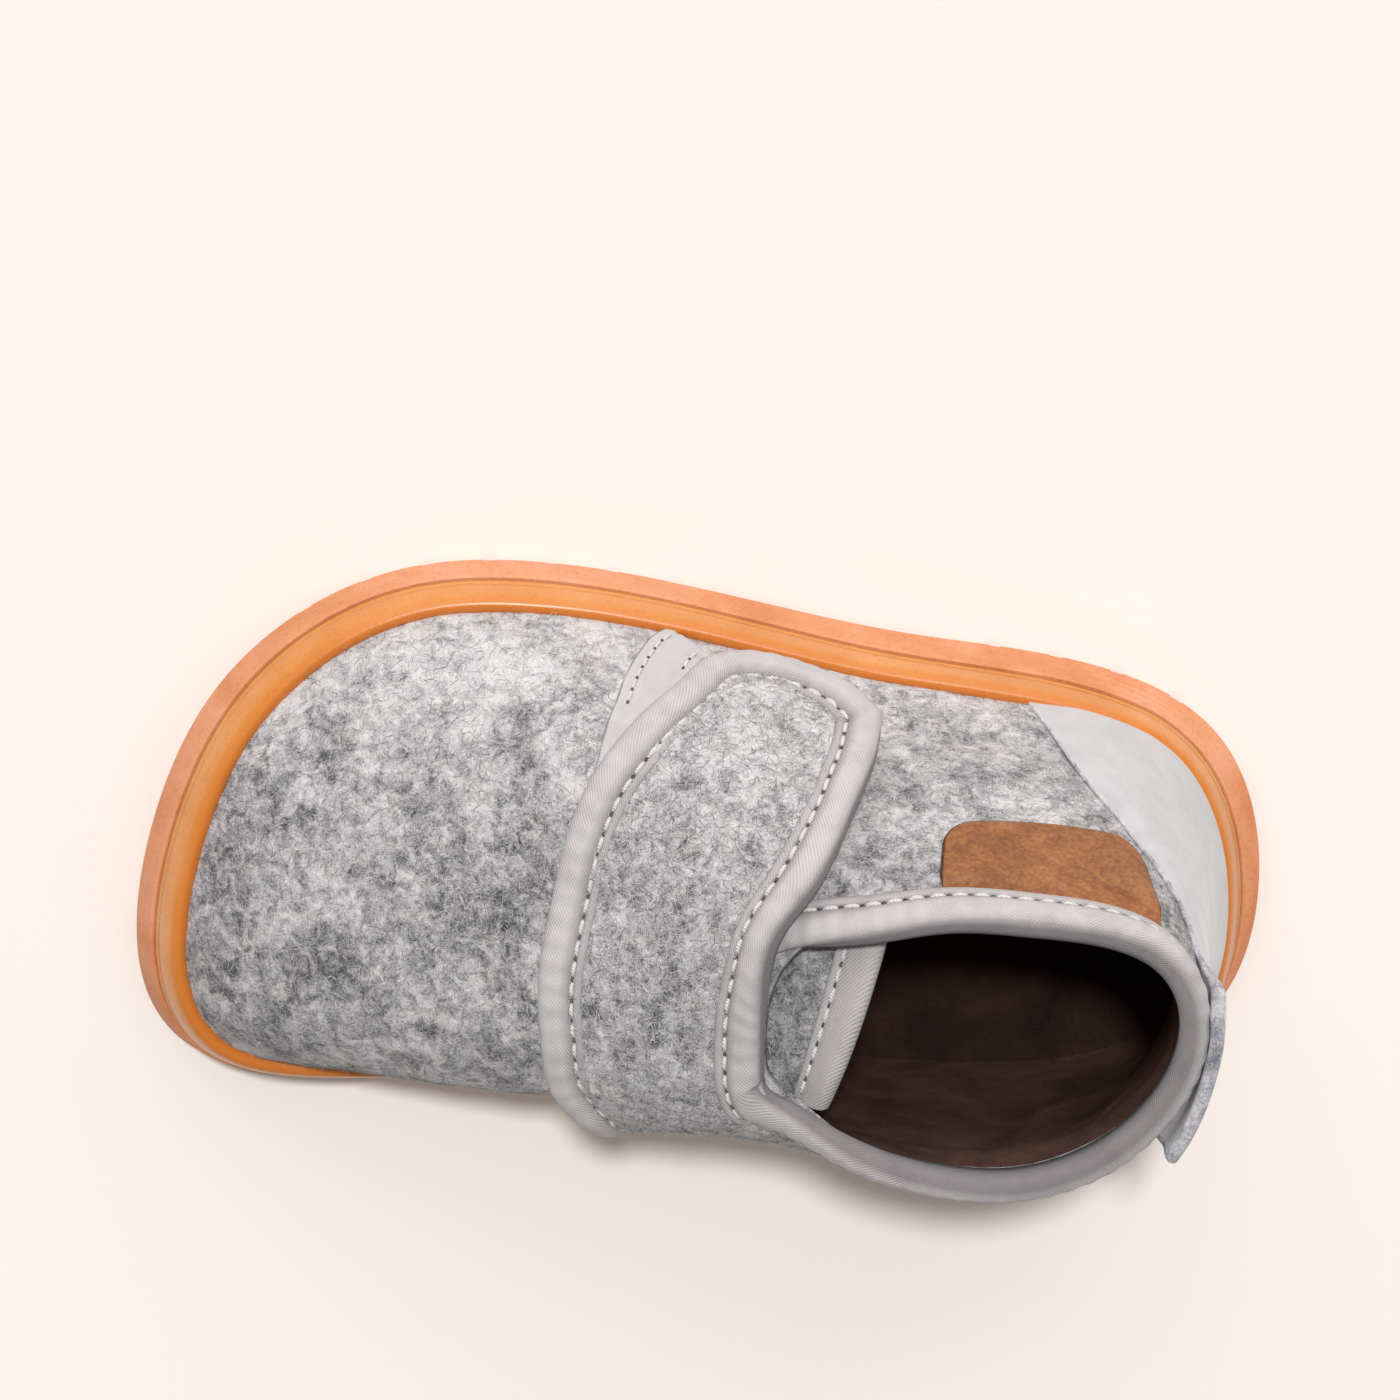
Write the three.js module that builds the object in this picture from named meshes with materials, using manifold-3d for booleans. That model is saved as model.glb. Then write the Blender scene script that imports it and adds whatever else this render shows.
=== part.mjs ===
// A child's felted-wool slipper for the right foot, in millimetres, +Z up, toe toward +X.
// The outer (lateral) side faces -Y. The origin is on the floor, under the middle of the shoe.
import * as THREE from 'three';
import { mergeVertices } from 'three/addons/utils/BufferGeometryUtils.js';
import Module from 'manifold-3d';

const wasm = await Module();
wasm.setup();

// The last and the sole.
const SHOE_LENGTH = 168;
const BALL_WIDTH = 81;
const HEEL_HEIGHT = 66;
const TOE_SPRING = 7;
const TOE_BREAK = 34;
const HEEL_BEVEL = 2.2;
const HEEL_BREAK = 67;
const ARCH_RISE = 0.8;
const ARCH_FRONT = 12;
const ARCH_BACK = -46;
const OUTSOLE_EDGE = 7;
const SOLE_CORNER = 1.4;
const POCKET_DEPTH = 2.6;
const RIB_DEPTH = 0.5;
const RIB_WIDTH = 0.8;
const LOW_RIB = 2.4;
const HIGH_RIB = 4.7;
const GROOVE_WIDTH = 2;
const GROOVE_DEPTH = 1.3;
const GROOVE_PITCH = 9;
const FOXING_HEIGHT = 5.5;
const FOXING_WALL = 1.6;
const FOXING_STEP = 0.5;
const INSOLE_THICKNESS = 3;

// The felt, the tapes and the patches.
const FELT_WALL = 3;
const FLAP_FELT = 2.6;
const FLAP_LIFT = 3.2;
const TONGUE_FELT = 2;
const TONGUE_RISE = 3.5;
const TAPE = 0.6;
const TAPE_ROLL = 1.4;
const TAPE_LEG = 5.1;
const TAPE_UNDER_LEG = 3;
const TONGUE_TAPE_LEG = 5.5;
const FLAP_SLOT = 0.6;
const TRIM_WIDTH = 8;
const TRIM_THICKNESS = 0.8;
const COUNTER_THICKNESS = 1.4;
const COUNTER_GAP = 0.55;
const TAB_THICKNESS = 1.9;
const LABEL_THICKNESS = 1;
const PATCH_THICKNESS = 0.8;
const SEAT = 0.3;
const SLACK = 0.4;

// How many facets go round the shoe, up its wall and along a taped edge.
const ROUND = 64;
const UP = 10;
const FLAP_LONG = 29;
const FLAP_WIDE = 8;
const COLLAR_STATIONS = 32;

// Rows round the last, from the toe tip by the outer side to the heel and back by the inner side.
// along and rimAlong are shares of SHOE_LENGTH, across and rimAcross of BALL_WIDTH, and rimUp, rise
// and run of HEEL_HEIGHT. lean is the slope of the sole's side, leave that of the felt where it
// leaves the sole, arrive that at the collar, all in degrees from upright.
const LAST = [
  { at: 'toe', along: 0.5, across: 0.18, rimAlong: -0.054, rimAcross: 0.135, rimUp: 0.86,
    leave: 14, rise: 0.3, arrive: 74, run: 0.62, lean: 10, rib: 0 },
  { at: 'toe, outer', along: 0.466, across: -0.12, rimAlong: -0.056, rimAcross: 0.055, rimUp: 0.86,
    leave: 14, rise: 0.3, arrive: 72, run: 0.6, lean: 10, rib: 0 },
  { at: 'toe corner', along: 0.388, across: -0.36, rimAlong: -0.068, rimAcross: -0.03, rimUp: 0.88,
    leave: 13, rise: 0.28, arrive: 60, run: 0.48, lean: 7, rib: 0 },
  { at: 'ball, outer', along: 0.235, across: -0.515, rimAlong: -0.095, rimAcross: -0.1, rimUp: 0.91,
    leave: 10, rise: 0.26, arrive: 44, run: 0.38, lean: 3, rib: 0 },
  { at: 'waist, outer', along: 0.03, across: -0.477, rimAlong: -0.142, rimAcross: -0.122, rimUp: 0.94,
    leave: 8, rise: 0.28, arrive: 33, run: 0.3, lean: 3, rib: 0 },
  { at: 'arch, outer', along: -0.16, across: -0.379, rimAlong: -0.205, rimAcross: -0.159, rimUp: 0.97,
    leave: 6, rise: 0.3, arrive: 22, run: 0.28, lean: 8, rib: 0 },
  { at: 'heel front, outer', along: -0.33, across: -0.325, rimAlong: -0.28, rimAcross: -0.154, rimUp: 0.99,
    leave: 6, rise: 0.3, arrive: 19, run: 0.28, lean: 9, rib: 0.1 },
  { at: 'heel side, outer', along: -0.464, across: -0.182, rimAlong: -0.377, rimAcross: -0.112, rimUp: 1,
    leave: 8, rise: 0.3, arrive: 10, run: 0.28, lean: 15, rib: 0.8 },
  { at: 'heel', along: -0.5, across: 0.11, rimAlong: -0.407, rimAcross: 0.05, rimUp: 1.02,
    leave: 8, rise: 0.3, arrive: 8, run: 0.28, lean: 10, rib: 1 },
  { at: 'heel side, inner', along: -0.46, across: 0.395, rimAlong: -0.365, rimAcross: 0.24, rimUp: 1,
    leave: 8, rise: 0.3, arrive: 8, run: 0.28, lean: 8, rib: 0.8 },
  { at: 'heel front, inner', along: -0.32, across: 0.51, rimAlong: -0.28, rimAcross: 0.345, rimUp: 0.99,
    leave: 6, rise: 0.3, arrive: 8, run: 0.28, lean: 3, rib: 0.1 },
  { at: 'arch, inner', along: -0.15, across: 0.505, rimAlong: -0.2, rimAcross: 0.345, rimUp: 0.97,
    leave: 10, rise: 0.26, arrive: 14, run: 0.28, lean: 3, rib: 0 },
  { at: 'waist, inner', along: 0.03, across: 0.49, rimAlong: -0.13, rimAcross: 0.305, rimUp: 0.95,
    leave: 22, rise: 0.18, arrive: 22, run: 0.18, lean: 3, rib: 0 },
  { at: 'ball, inner', along: 0.22, across: 0.488, rimAlong: -0.084, rimAcross: 0.24, rimUp: 0.9,
    leave: 34, rise: 0.18, arrive: 42, run: 0.18, lean: 4, rib: 0 },
  { at: 'toe, inner', along: 0.38, across: 0.488, rimAlong: -0.061, rimAcross: 0.2, rimUp: 0.87,
    leave: 30, rise: 0.22, arrive: 64, run: 0.3, lean: 12, rib: 0 },
  { at: 'big toe', along: 0.472, across: 0.395, rimAlong: -0.055, rimAcross: 0.17, rimUp: 0.86,
    leave: 18, rise: 0.28, arrive: 72, run: 0.58, lean: 17, rib: 0 },
];

// The flap's cut edges on the last. round counts the rows of LAST, negative on the inner side,
// and up is the share of the way from the sole to the collar.
const FLAP_FRONT = [
  { round: -3.5, up: 0.14 },
  { round: -3.4, up: 0.29 },
  { round: -3.17, up: 0.43 },
  { round: -2.95, up: 0.505 },
  { round: -2.72, up: 0.563 },
  { round: -2.45, up: 0.612 },
  { round: -2.15, up: 0.656 },
  { round: -1.8, up: 0.694 },
  { round: -1.35, up: 0.726 },
  { round: -0.75, up: 0.75 },
  { round: -0.1, up: 0.757 },
  { round: 0.6, up: 0.748 },
  { round: 1.25, up: 0.73 },
  { round: 1.85, up: 0.695 },
  { round: 2.5, up: 0.635 },
  { round: 3.1, up: 0.56 },
  { round: 3.6, up: 0.465 },
  { round: 3.95, up: 0.36 },
];
const FLAP_END = [
  { round: 3.95, up: 0.36 },
  { round: 4.17, up: 0.31 },
  { round: 4.43, up: 0.3 },
  { round: 4.67, up: 0.345 },
  { round: 4.78, up: 0.44 },
];
const FLAP_REAR = [
  { round: -3.75, up: 0.985 },
  { round: -3.2, up: 1 },
  { round: -2.6, up: 1 },
  { round: -1.9, up: 1 },
  { round: -1.2, up: 1 },
  { round: -0.5, up: 1 },
  { round: 0.3, up: 1 },
  { round: 1.1, up: 1 },
  { round: 1.8, up: 1 },
  { round: 2.4, up: 0.985 },
  { round: 3.1, up: 0.945 },
  { round: 3.7, up: 0.85 },
  { round: 4.2, up: 0.735 },
  { round: 4.58, up: 0.59 },
  { round: 4.78, up: 0.44 },
];
const FLAP_ROOT = [
  { round: -3.5, up: 0.14 },
  { round: -3.8, up: 0.35 },
  { round: -3.9, up: 0.65 },
  { round: -3.75, up: 0.985 },
];
// The flap's underside lifts off the upper from its root to its free end, as shares of FLAP_LIFT.
const FLAP_RISE = [
  { round: -3.9, lift: 0.2 },
  { round: -3.4, lift: 0.45 },
  { round: -2.4, lift: 0.55 },
  { round: -1, lift: 0.7 },
  { round: 0.5, lift: 0.85 },
  { round: 2, lift: 1 },
  { round: 5, lift: 1 },
];
// The throat tape's front edge on the toe box, from the sole to a place under the flap.
const THROAT = [
  { round: 3.97, up: 0.125 },
  { round: 3.8, up: 0.235 },
  { round: 3.57, up: 0.345 },
  { round: 3.25, up: 0.455 },
  { round: 2.73, up: 0.575 },
  { round: 2.1, up: 0.66 },
];
// The heel counter narrows from the sole to the pull tab.
const COUNTER = [
  { up: 0.13, outer: 5.8, inner: 10.2 },
  { up: 0.28, outer: 5.95, inner: 10.05 },
  { up: 0.41, outer: 6.15, inner: 9.85 },
  { up: 0.55, outer: 6.5, inner: 9.6 },
  { up: 0.66, outer: 6.95, inner: 9.35 },
  { up: 0.77, outer: 7.4, inner: 9.12 },
  { up: 0.88, outer: 7.68, inner: 9 },
  { up: 1.02, outer: 7.75, inner: 8.95 },
];
const LABEL_CORNERS = [
  { at: 'front, low', round: 5.15, up: 0.69 },
  { at: 'front, high', round: 4.98, up: 0.88 },
  { at: 'back, low', round: 6.62, up: 0.615 },
  { at: 'back, high', round: 6.95, up: 0.88 },
];
const LOOP_CORNERS = [
  { at: 'front, low', round: 4.08, up: 0.38 },
  { at: 'front, high', round: 3.4, up: 0.72 },
  { at: 'back, low', round: 4.86, up: 0.49 },
  { at: 'back, high', round: 4.02, up: 0.81 },
];
const HOOK_CORNERS = [
  { at: 'front, low', round: 4, up: 0.42 },
  { at: 'front, high', round: 3.35, up: 0.7 },
  { at: 'back, low', round: 4.4, up: 0.46 },
  { at: 'back, high', round: 3.85, up: 0.75 },
];
// The tongue's sections, from its hidden front to its taped rear edge. outer and inner are the
// rows where its two sides touch the lining, side is how far up they do, crown lifts its middle.
const TONGUE = [
  { outer: 2.6, inner: -2, side: 0.86, crown: 0.3 },
  { outer: 3.2, inner: -2.45, side: 0.88, crown: 0.55 },
  { outer: 3.75, inner: -2.8, side: 0.9, crown: 0.8 },
  { outer: 4.15, inner: -3.05, side: 0.92, crown: 1 },
];

// A round curve's value between its rows, which closes on itself.
function blend(values, place) {
  const count = values.length;
  const cell = Math.floor(place);
  const f = place - cell;
  const weights = [
    (1 - f) ** 3 / 6,
    (3 * f ** 3 - 6 * f ** 2 + 4) / 6,
    (-3 * f ** 3 + 3 * f ** 2 + 3 * f + 1) / 6,
    f ** 3 / 6,
  ];
  let sum = 0;
  for (let k = 0; k < 4; k += 1) {
    sum += weights[k] * values[(((cell - 1 + k) % count) + count) % count];
  }
  return sum;
}

// A closed column of LAST becomes a round curve that passes close to its rows.
function closedColumn(name) {
  const raw = LAST.map((row) => row[name]);
  const count = raw.length;
  const pulled = raw.map((value, i) => {
    const before = raw[(i - 1 + count) % count];
    const after = raw[(i + 1) % count];
    return value - (before - 2 * value + after) / 6;
  });
  return (place) => blend(pulled, place);
}

// An open table becomes a curve through its rows, for a share from 0 to 1.
function openColumn(table, name) {
  const value = (i) => {
    const last = table.length - 1;
    if (i < 0) return 2 * table[0][name] - table[1][name];
    if (i > last) return 2 * table[last][name] - table[last - 1][name];
    return table[i][name];
  };
  return (share) => {
    const place = Math.min(Math.max(share, 0), 1) * (table.length - 1);
    const cell = Math.min(Math.floor(place), table.length - 2);
    const f = place - cell;
    const [a, b, c, d] = [value(cell - 1), value(cell), value(cell + 1), value(cell + 2)];
    return b + 0.5 * f * (c - a + f * (2 * a - 5 * b + 4 * c - d + f * (3 * (b - c) + d - a)));
  };
}

// The value of one column where another column has a given value.
function lookUp(table, key, name, at) {
  const rising = table.findIndex((row) => row[key] > at);
  if (rising === 0) return table[0][name];
  if (rising < 0) return table[table.length - 1][name];
  const a = table[rising - 1];
  const b = table[rising];
  return a[name] + ((b[name] - a[name]) * (at - a[key])) / (b[key] - a[key]);
}

const column = {};
for (const name of Object.keys(LAST[0]).filter((key) => key !== 'at')) {
  column[name] = closedColumn(name);
}

const rad = (degrees) => (degrees * Math.PI) / 180;
const lerp = (a, b, f) => a + (b - a) * f;
const smooth = (f) => {
  const g = Math.min(Math.max(f, 0), 1);
  return g * g * (3 - 2 * g);
};

// How far the toe spring and the heel bevel lift the sole off the floor.
function lift(x) {
  const toe = Math.max(0, (x - TOE_BREAK) / (SHOE_LENGTH / 2 - TOE_BREAK));
  const heel = Math.max(0, (-x - HEEL_BREAK) / (SHOE_LENGTH / 2 - HEEL_BREAK));
  return TOE_SPRING * toe ** 2 + HEEL_BEVEL * heel ** 2;
}

function liftSlope(x) {
  return (lift(x + 0.01) - lift(x - 0.01)) / 0.02;
}

function archRise(x) {
  const f = (x - ARCH_BACK) / (ARCH_FRONT - ARCH_BACK);
  return ARCH_RISE * smooth(4 * Math.min(f, 1 - f));
}

function outline(s) {
  return new THREE.Vector3(SHOE_LENGTH * column.along(s), BALL_WIDTH * column.across(s), 0);
}

// The direction in plan from the sole's outline toward its middle.
function inward(curve, s) {
  const ahead = curve(s + 0.01);
  const behind = curve(s - 0.01);
  return new THREE.Vector3(ahead.y - behind.y, behind.x - ahead.x, 0).normalize();
}

// A point of the sole's side: inset from its outline, up above its underside, tilted with it.
function soleSide(s, inset, up, extra = 0) {
  const foot = outline(s);
  const run = inset + up * Math.tan(rad(column.lean(s)));
  const way = inward(outline, s).multiplyScalar(run);
  const slope = liftSlope(foot.x);
  const flat = 1 / Math.hypot(1, slope);
  return new THREE.Vector3(
    foot.x + (way.x - up * slope) * flat,
    foot.y + way.y,
    lift(foot.x) + (way.x * slope + up) * flat + extra,
  );
}

function rim(s) {
  return new THREE.Vector3(
    SHOE_LENGTH * column.rimAlong(s),
    BALL_WIDTH * column.rimAcross(s),
    HEEL_HEIGHT * column.rimUp(s),
  );
}

// The upper's outer face, by its row s round the last and its share t from sole to collar.
const FOOT_INSET = FOXING_STEP + FOXING_WALL + SEAT;
const FOOT_UP = OUTSOLE_EDGE + SEAT;

function shell(s, t) {
  const foot = soleSide(s, FOOT_INSET, FOOT_UP);
  const rise = HEEL_HEIGHT * column.rise(s);
  const leave = rad(column.leave(s));
  const sideways = rise * (Math.sin(leave) - Math.cos(leave) * Math.tan(rad(column.lean(s))));
  const low = soleSide(s, FOOT_INSET + sideways, FOOT_UP + rise * Math.cos(leave));
  const top = rim(s);
  const arrive = rad(column.arrive(s));
  const back = inward(rim, s).multiplyScalar(Math.sin(arrive));
  back.z = Math.cos(arrive);
  const high = top.clone().addScaledVector(back, -HEEL_HEIGHT * column.run(s));
  const u = 1 - t;
  return foot.multiplyScalar(u ** 3)
    .addScaledVector(low, 3 * t * u * u)
    .addScaledVector(high, 3 * t * t * u)
    .addScaledVector(top, t ** 3);
}

function shellWays(s, t) {
  const h = 0.001;
  const round = shell(s + h, t).sub(shell(s - h, t)).divideScalar(2 * h);
  const up = shell(s, t + h).sub(shell(s, t - h)).divideScalar(2 * h);
  const normal = new THREE.Vector3().crossVectors(up, round).normalize();
  return { round, up, normal };
}

function shellAt(s, t, off) {
  return shell(s, t).addScaledVector(shellWays(s, t).normal, off);
}

// Moves a place on the last by a distance along its surface.
function walk(s, t, way, distance) {
  const steps = Math.max(1, Math.ceil(Math.abs(distance) / 2));
  let place = [s, t];
  for (let k = 0; k < steps; k += 1) {
    const { round, up } = shellWays(place[0], place[1]);
    const rr = round.dot(round);
    const uu = up.dot(up);
    const ru = round.dot(up);
    const r = round.dot(way);
    const u = up.dot(way);
    const det = rr * uu - ru * ru;
    const step = distance / steps;
    place = [
      place[0] + (step * (r * uu - u * ru)) / det,
      place[1] + (step * (u * rr - r * ru)) / det,
    ];
  }
  return place;
}

// The share t that lies a distance up the wall from the sole.
function climb(s, distance) {
  let t = 0;
  let gone = 0;
  while (gone < distance) {
    gone += shellWays(s, t).up.length() * 0.002;
    t += 0.002;
  }
  return t;
}

// Two facets between four corners of a closed solid.
function quad(faces, a, b, c, d) {
  faces.push([a, b, c], [a, c, d]);
}

// Fills a ring by joining each point to the one opposite. Where apex is true, the first point and
// the one half way round stand alone.
function bridge(faces, ring, apex) {
  const count = ring.length;
  if (!apex) {
    for (let i = 0; i < count / 2 - 1; i += 1) {
      quad(faces, ring[i], ring[i + 1], ring[count - 2 - i], ring[count - 1 - i]);
    }
    return;
  }
  const half = count / 2;
  faces.push([ring[0], ring[1], ring[count - 1]]);
  for (let i = 1; i < half - 1; i += 1) {
    quad(faces, ring[i], ring[i + 1], ring[count - i - 1], ring[count - i]);
  }
  faces.push([ring[half - 1], ring[half], ring[half + 1]]);
}

function ringFaces(faces, rows, columns, wrapRows) {
  const at = (i, j) => (i % rows) * columns + (j % columns);
  for (let i = 0; i < (wrapRows ? rows : rows - 1); i += 1) {
    for (let j = 0; j < columns; j += 1) {
      quad(faces, at(i, j), at(i, j + 1), at(i + 1, j + 1), at(i + 1, j));
    }
  }
}

function solid(points, faces) {
  let volume = 0;
  for (const [a, b, c] of faces) {
    volume += points[a].dot(new THREE.Vector3().crossVectors(points[b], points[c]));
  }
  const geometry = new THREE.BufferGeometry();
  const flat = points.flatMap((p) => [p.x, p.y, p.z]);
  geometry.setAttribute('position', new THREE.Float32BufferAttribute(flat, 3));
  geometry.setIndex(faces.flatMap(([a, b, c]) => (volume < 0 ? [a, c, b] : [a, b, c])));
  geometry.computeVertexNormals();
  return geometry;
}

// Rings that close on themselves and on each other, as a hollow shell open at both ends.
function hoop(rings) {
  const faces = [];
  ringFaces(faces, rings.length, rings[0].length, true);
  return solid(rings.flat(), faces);
}

// A stack of rings with its two ends filled.
function stack(rings, apex) {
  const columns = rings[0].length;
  const faces = [];
  ringFaces(faces, rings.length, columns, false);
  const first = [...Array(columns).keys()];
  const last = first.map((j) => (rings.length - 1) * columns + j);
  const start = [];
  bridge(start, first, apex);
  start.forEach(([a, b, c]) => faces.push([a, c, b]));
  bridge(faces, last, apex);
  return solid(rings.flat(), faces);
}

// A closed profile carried along a path. profile(station) gives the 3D points of each ring.
function sweep(stations, profile, flatProfile) {
  const rings = stations.map(profile);
  const columns = rings[0].length;
  const faces = [];
  ringFaces(faces, rings.length, columns, false);
  const end = (rings.length - 1) * columns;
  const area = THREE.ShapeUtils.area(flatProfile);
  for (const [a, b, c] of THREE.ShapeUtils.triangulateShape(flatProfile, [])) {
    const turn = THREE.ShapeUtils.area([flatProfile[a], flatProfile[b], flatProfile[c]]);
    const [d, e] = turn * area > 0 ? [b, c] : [c, b];
    faces.push([a, e, d], [end + a, end + d, end + e]);
  }
  return solid(rings.flat(), faces);
}

// A sheet over the shares u and v of a patch. place(u, v, face) gives its lower (0) or upper (1) face.
function sheet(uCount, vCount, place) {
  const rings = [];
  for (let i = 0; i <= uCount; i += 1) {
    const ring = [];
    for (let j = 0; j <= vCount; j += 1) ring.push(place(i / uCount, j / vCount, 1));
    for (let j = vCount; j >= 0; j -= 1) ring.push(place(i / uCount, j / vCount, 0));
    rings.push(ring);
  }
  return stack(rings, false);
}

// The stations round the shoe, and the width of the shelf that carries upper and foxing.
const around = [...Array(ROUND).keys()].map((i) => (i * LAST.length) / ROUND);
const LEDGE = FOOT_INSET + FELT_WALL + SLACK;

// The side of the outsole, from its underside to the shelf that carries the foxing.
function outsoleSide(s) {
  const rib = RIB_DEPTH * Math.max(0, column.rib(s));
  const arch = archRise(outline(s).x);
  const side = [soleSide(s, SOLE_CORNER, 0, arch), soleSide(s, 0.2 * SOLE_CORNER, SOLE_CORNER / 2, arch / 2)];
  side.push(soleSide(s, 0, SOLE_CORNER));
  for (const height of [LOW_RIB, HIGH_RIB]) {
    side.push(soleSide(s, 0, height - RIB_WIDTH / 2));
    side.push(soleSide(s, rib, height));
    side.push(soleSide(s, 0, height + RIB_WIDTH / 2));
  }
  side.push(soleSide(s, 0, OUTSOLE_EDGE - FOXING_STEP));
  side.push(soleSide(s, FOXING_STEP / 2, OUTSOLE_EDGE));
  side.push(soleSide(s, LEDGE, OUTSOLE_EDGE));
  side.push(soleSide(s, LEDGE + SEAT, OUTSOLE_EDGE - POCKET_DEPTH));
  return side;
}

function toManifold(geometry) {
  const bare = geometry.clone();
  bare.deleteAttribute('normal');
  bare.deleteAttribute('uv');
  const merged = mergeVertices(bare, 1e-4);
  return new wasm.Manifold(new wasm.Mesh({
    numProp: 3,
    vertProperties: new Float32Array(merged.attributes.position.array),
    triVerts: new Uint32Array(merged.index.array),
  }));
}

function fromManifold(manifold) {
  const mesh = manifold.getMesh();
  const geometry = new THREE.BufferGeometry();
  geometry.setAttribute('position', new THREE.BufferAttribute(new Float32Array(mesh.vertProperties), 3));
  geometry.setIndex(new THREE.BufferAttribute(new Uint32Array(mesh.triVerts), 1));
  geometry.computeVertexNormals();
  return geometry;
}

// Straight grooves part the underside into lugs, in groups under the forefoot and the heel.
const GROOVE_GROUPS = [
  { at: 'forefoot', first: 0.02, count: 7 },
  { at: 'heel', first: -0.42, count: 4 },
];

function outsole() {
  const sides = around.map(outsoleSide);
  const rings = sides[0].map((_, level) => sides.map((side) => side[level]));
  let body = toManifold(stack(rings, true));
  for (const group of GROOVE_GROUPS) {
    for (let k = 0; k < group.count; k += 1) {
      const x = group.first * SHOE_LENGTH + k * GROOVE_PITCH;
      const cutter = new THREE.BoxGeometry(GROOVE_WIDTH, 2 * BALL_WIDTH, 2 * GROOVE_DEPTH);
      cutter.rotateY(-Math.atan(liftSlope(x)));
      cutter.translate(x, 0, lift(x) + archRise(x));
      body = body.subtract(toManifold(cutter));
    }
  }
  return fromManifold(body);
}

function foxing() {
  const ring = (s) => {
    const side = (height, off) => shellAt(s, climb(s, height), off);
    const outer = SEAT + FOXING_WALL;
    return [
      soleSide(s, FOOT_INSET - SEAT, FOOT_UP),
      side(FOXING_HEIGHT / 2, SEAT),
      side(FOXING_HEIGHT, SEAT),
      side(FOXING_HEIGHT + SEAT, SEAT + FOXING_WALL * 0.4),
      side(FOXING_HEIGHT, SEAT + FOXING_WALL * 0.75),
      side(FOXING_HEIGHT * 0.88, outer),
      side(FOXING_HEIGHT * 0.45, outer),
      soleSide(s, FOXING_STEP, FOOT_UP),
    ];
  };
  return hoop(around.map(ring));
}

function insole() {
  const inset = LEDGE + SEAT + SLACK;
  const floor = OUTSOLE_EDGE - POCKET_DEPTH + SEAT;
  const levels = [
    { inset, up: floor },
    { inset, up: floor + INSOLE_THICKNESS - SLACK },
    { inset: inset + SLACK, up: floor + INSOLE_THICKNESS },
  ];
  const rings = levels.map((level) => around.map((s) => soleSide(s, level.inset, level.up)));
  return stack(rings, true);
}

// The lasted felt, a hollow wall open at the collar and underneath.
function upper() {
  const ring = (s) => {
    const outer = [];
    const inner = [];
    for (let j = 0; j <= UP; j += 1) {
      outer.push(shell(s, j / UP));
      inner.unshift(j === 0 ? soleSide(s, FOOT_INSET + FELT_WALL, FOOT_UP) : shellAt(s, j / UP, -FELT_WALL));
    }
    return [...outer, ...inner];
  };
  return hoop(around.map(ring));
}

function boundary(table) {
  const round = openColumn(table, 'round');
  const up = openColumn(table, 'up');
  return (share) => [round(share), up(share)];
}

const flapFront = boundary(FLAP_FRONT);
const flapEnd = boundary(FLAP_END);
const flapRear = boundary(FLAP_REAR);
const flapRoot = boundary(FLAP_ROOT);

// A place on the flap between its four cut edges, u from root to free end, v from front to rear.
// The bend of the root and of the end dies out toward the instep.
function flapPlace(u, v) {
  const [front, rear, root, end] = [flapFront(u), flapRear(u), flapRoot(v), flapEnd(v)];
  const atRoot = (1 - u) ** 3;
  const atEnd = u ** 4;
  return [0, 1].map((k) => (
    lerp(front[k], rear[k], v)
    + atRoot * (root[k] - lerp(flapRoot(0)[k], flapRoot(1)[k], v))
    + atEnd * (end[k] - lerp(flapEnd(0)[k], flapEnd(1)[k], v))
  ));
}

function flapUnderside(s) {
  return SEAT + FLAP_LIFT * lookUp(FLAP_RISE, 'round', 'lift', s);
}

// The felt thins to a skived edge at its root on the inner side.
function flapThickness(s) {
  return FLAP_FELT * lerp(0.35, 1, smooth((s + 3.9) / 0.9));
}

function instepFlap() {
  return sheet(FLAP_LONG, FLAP_WIDE, (u, v, face) => {
    const [s, t] = flapPlace(u, v);
    return shellAt(s, t, flapUnderside(s) + face * flapThickness(s));
  });
}

// A tape folded round a cut edge: a flat margin, a roll over the edge and a shorter leg under it.
// Each point is a distance out from the edge and a height above (or below) the felt's two faces.
function tapeProfile(leg, underLeg, slot) {
  return [
    { out: -leg, face: 1, off: slot },
    { out: -leg, face: 1, off: slot + TAPE * 0.7 },
    { out: -leg + 1.8, face: 1, off: slot + TAPE + SLACK },
    { out: -0.6, face: 1, off: slot + TAPE + SLACK },
    { out: 0.9, face: 1, off: slot + TAPE * 0.3 },
    { out: TAPE_ROLL, face: 0.5, off: 0 },
    { out: 0.9, face: 0, off: slot },
    { out: -0.6, face: 0, off: slot + TAPE },
    { out: -underLeg, face: 0, off: slot + TAPE },
    { out: -underLeg, face: 0, off: slot },
    { out: slot * 0.75, face: 0, off: slot },
    { out: slot * 0.75, face: 1, off: slot },
  ];
}

function flatProfile(profile) {
  return profile.map((p) => {
    const side = p.face === 1 ? 1 : -1;
    return new THREE.Vector2(p.out, p.face === 0.5 ? 0 : side * (1 + p.off));
  });
}

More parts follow.
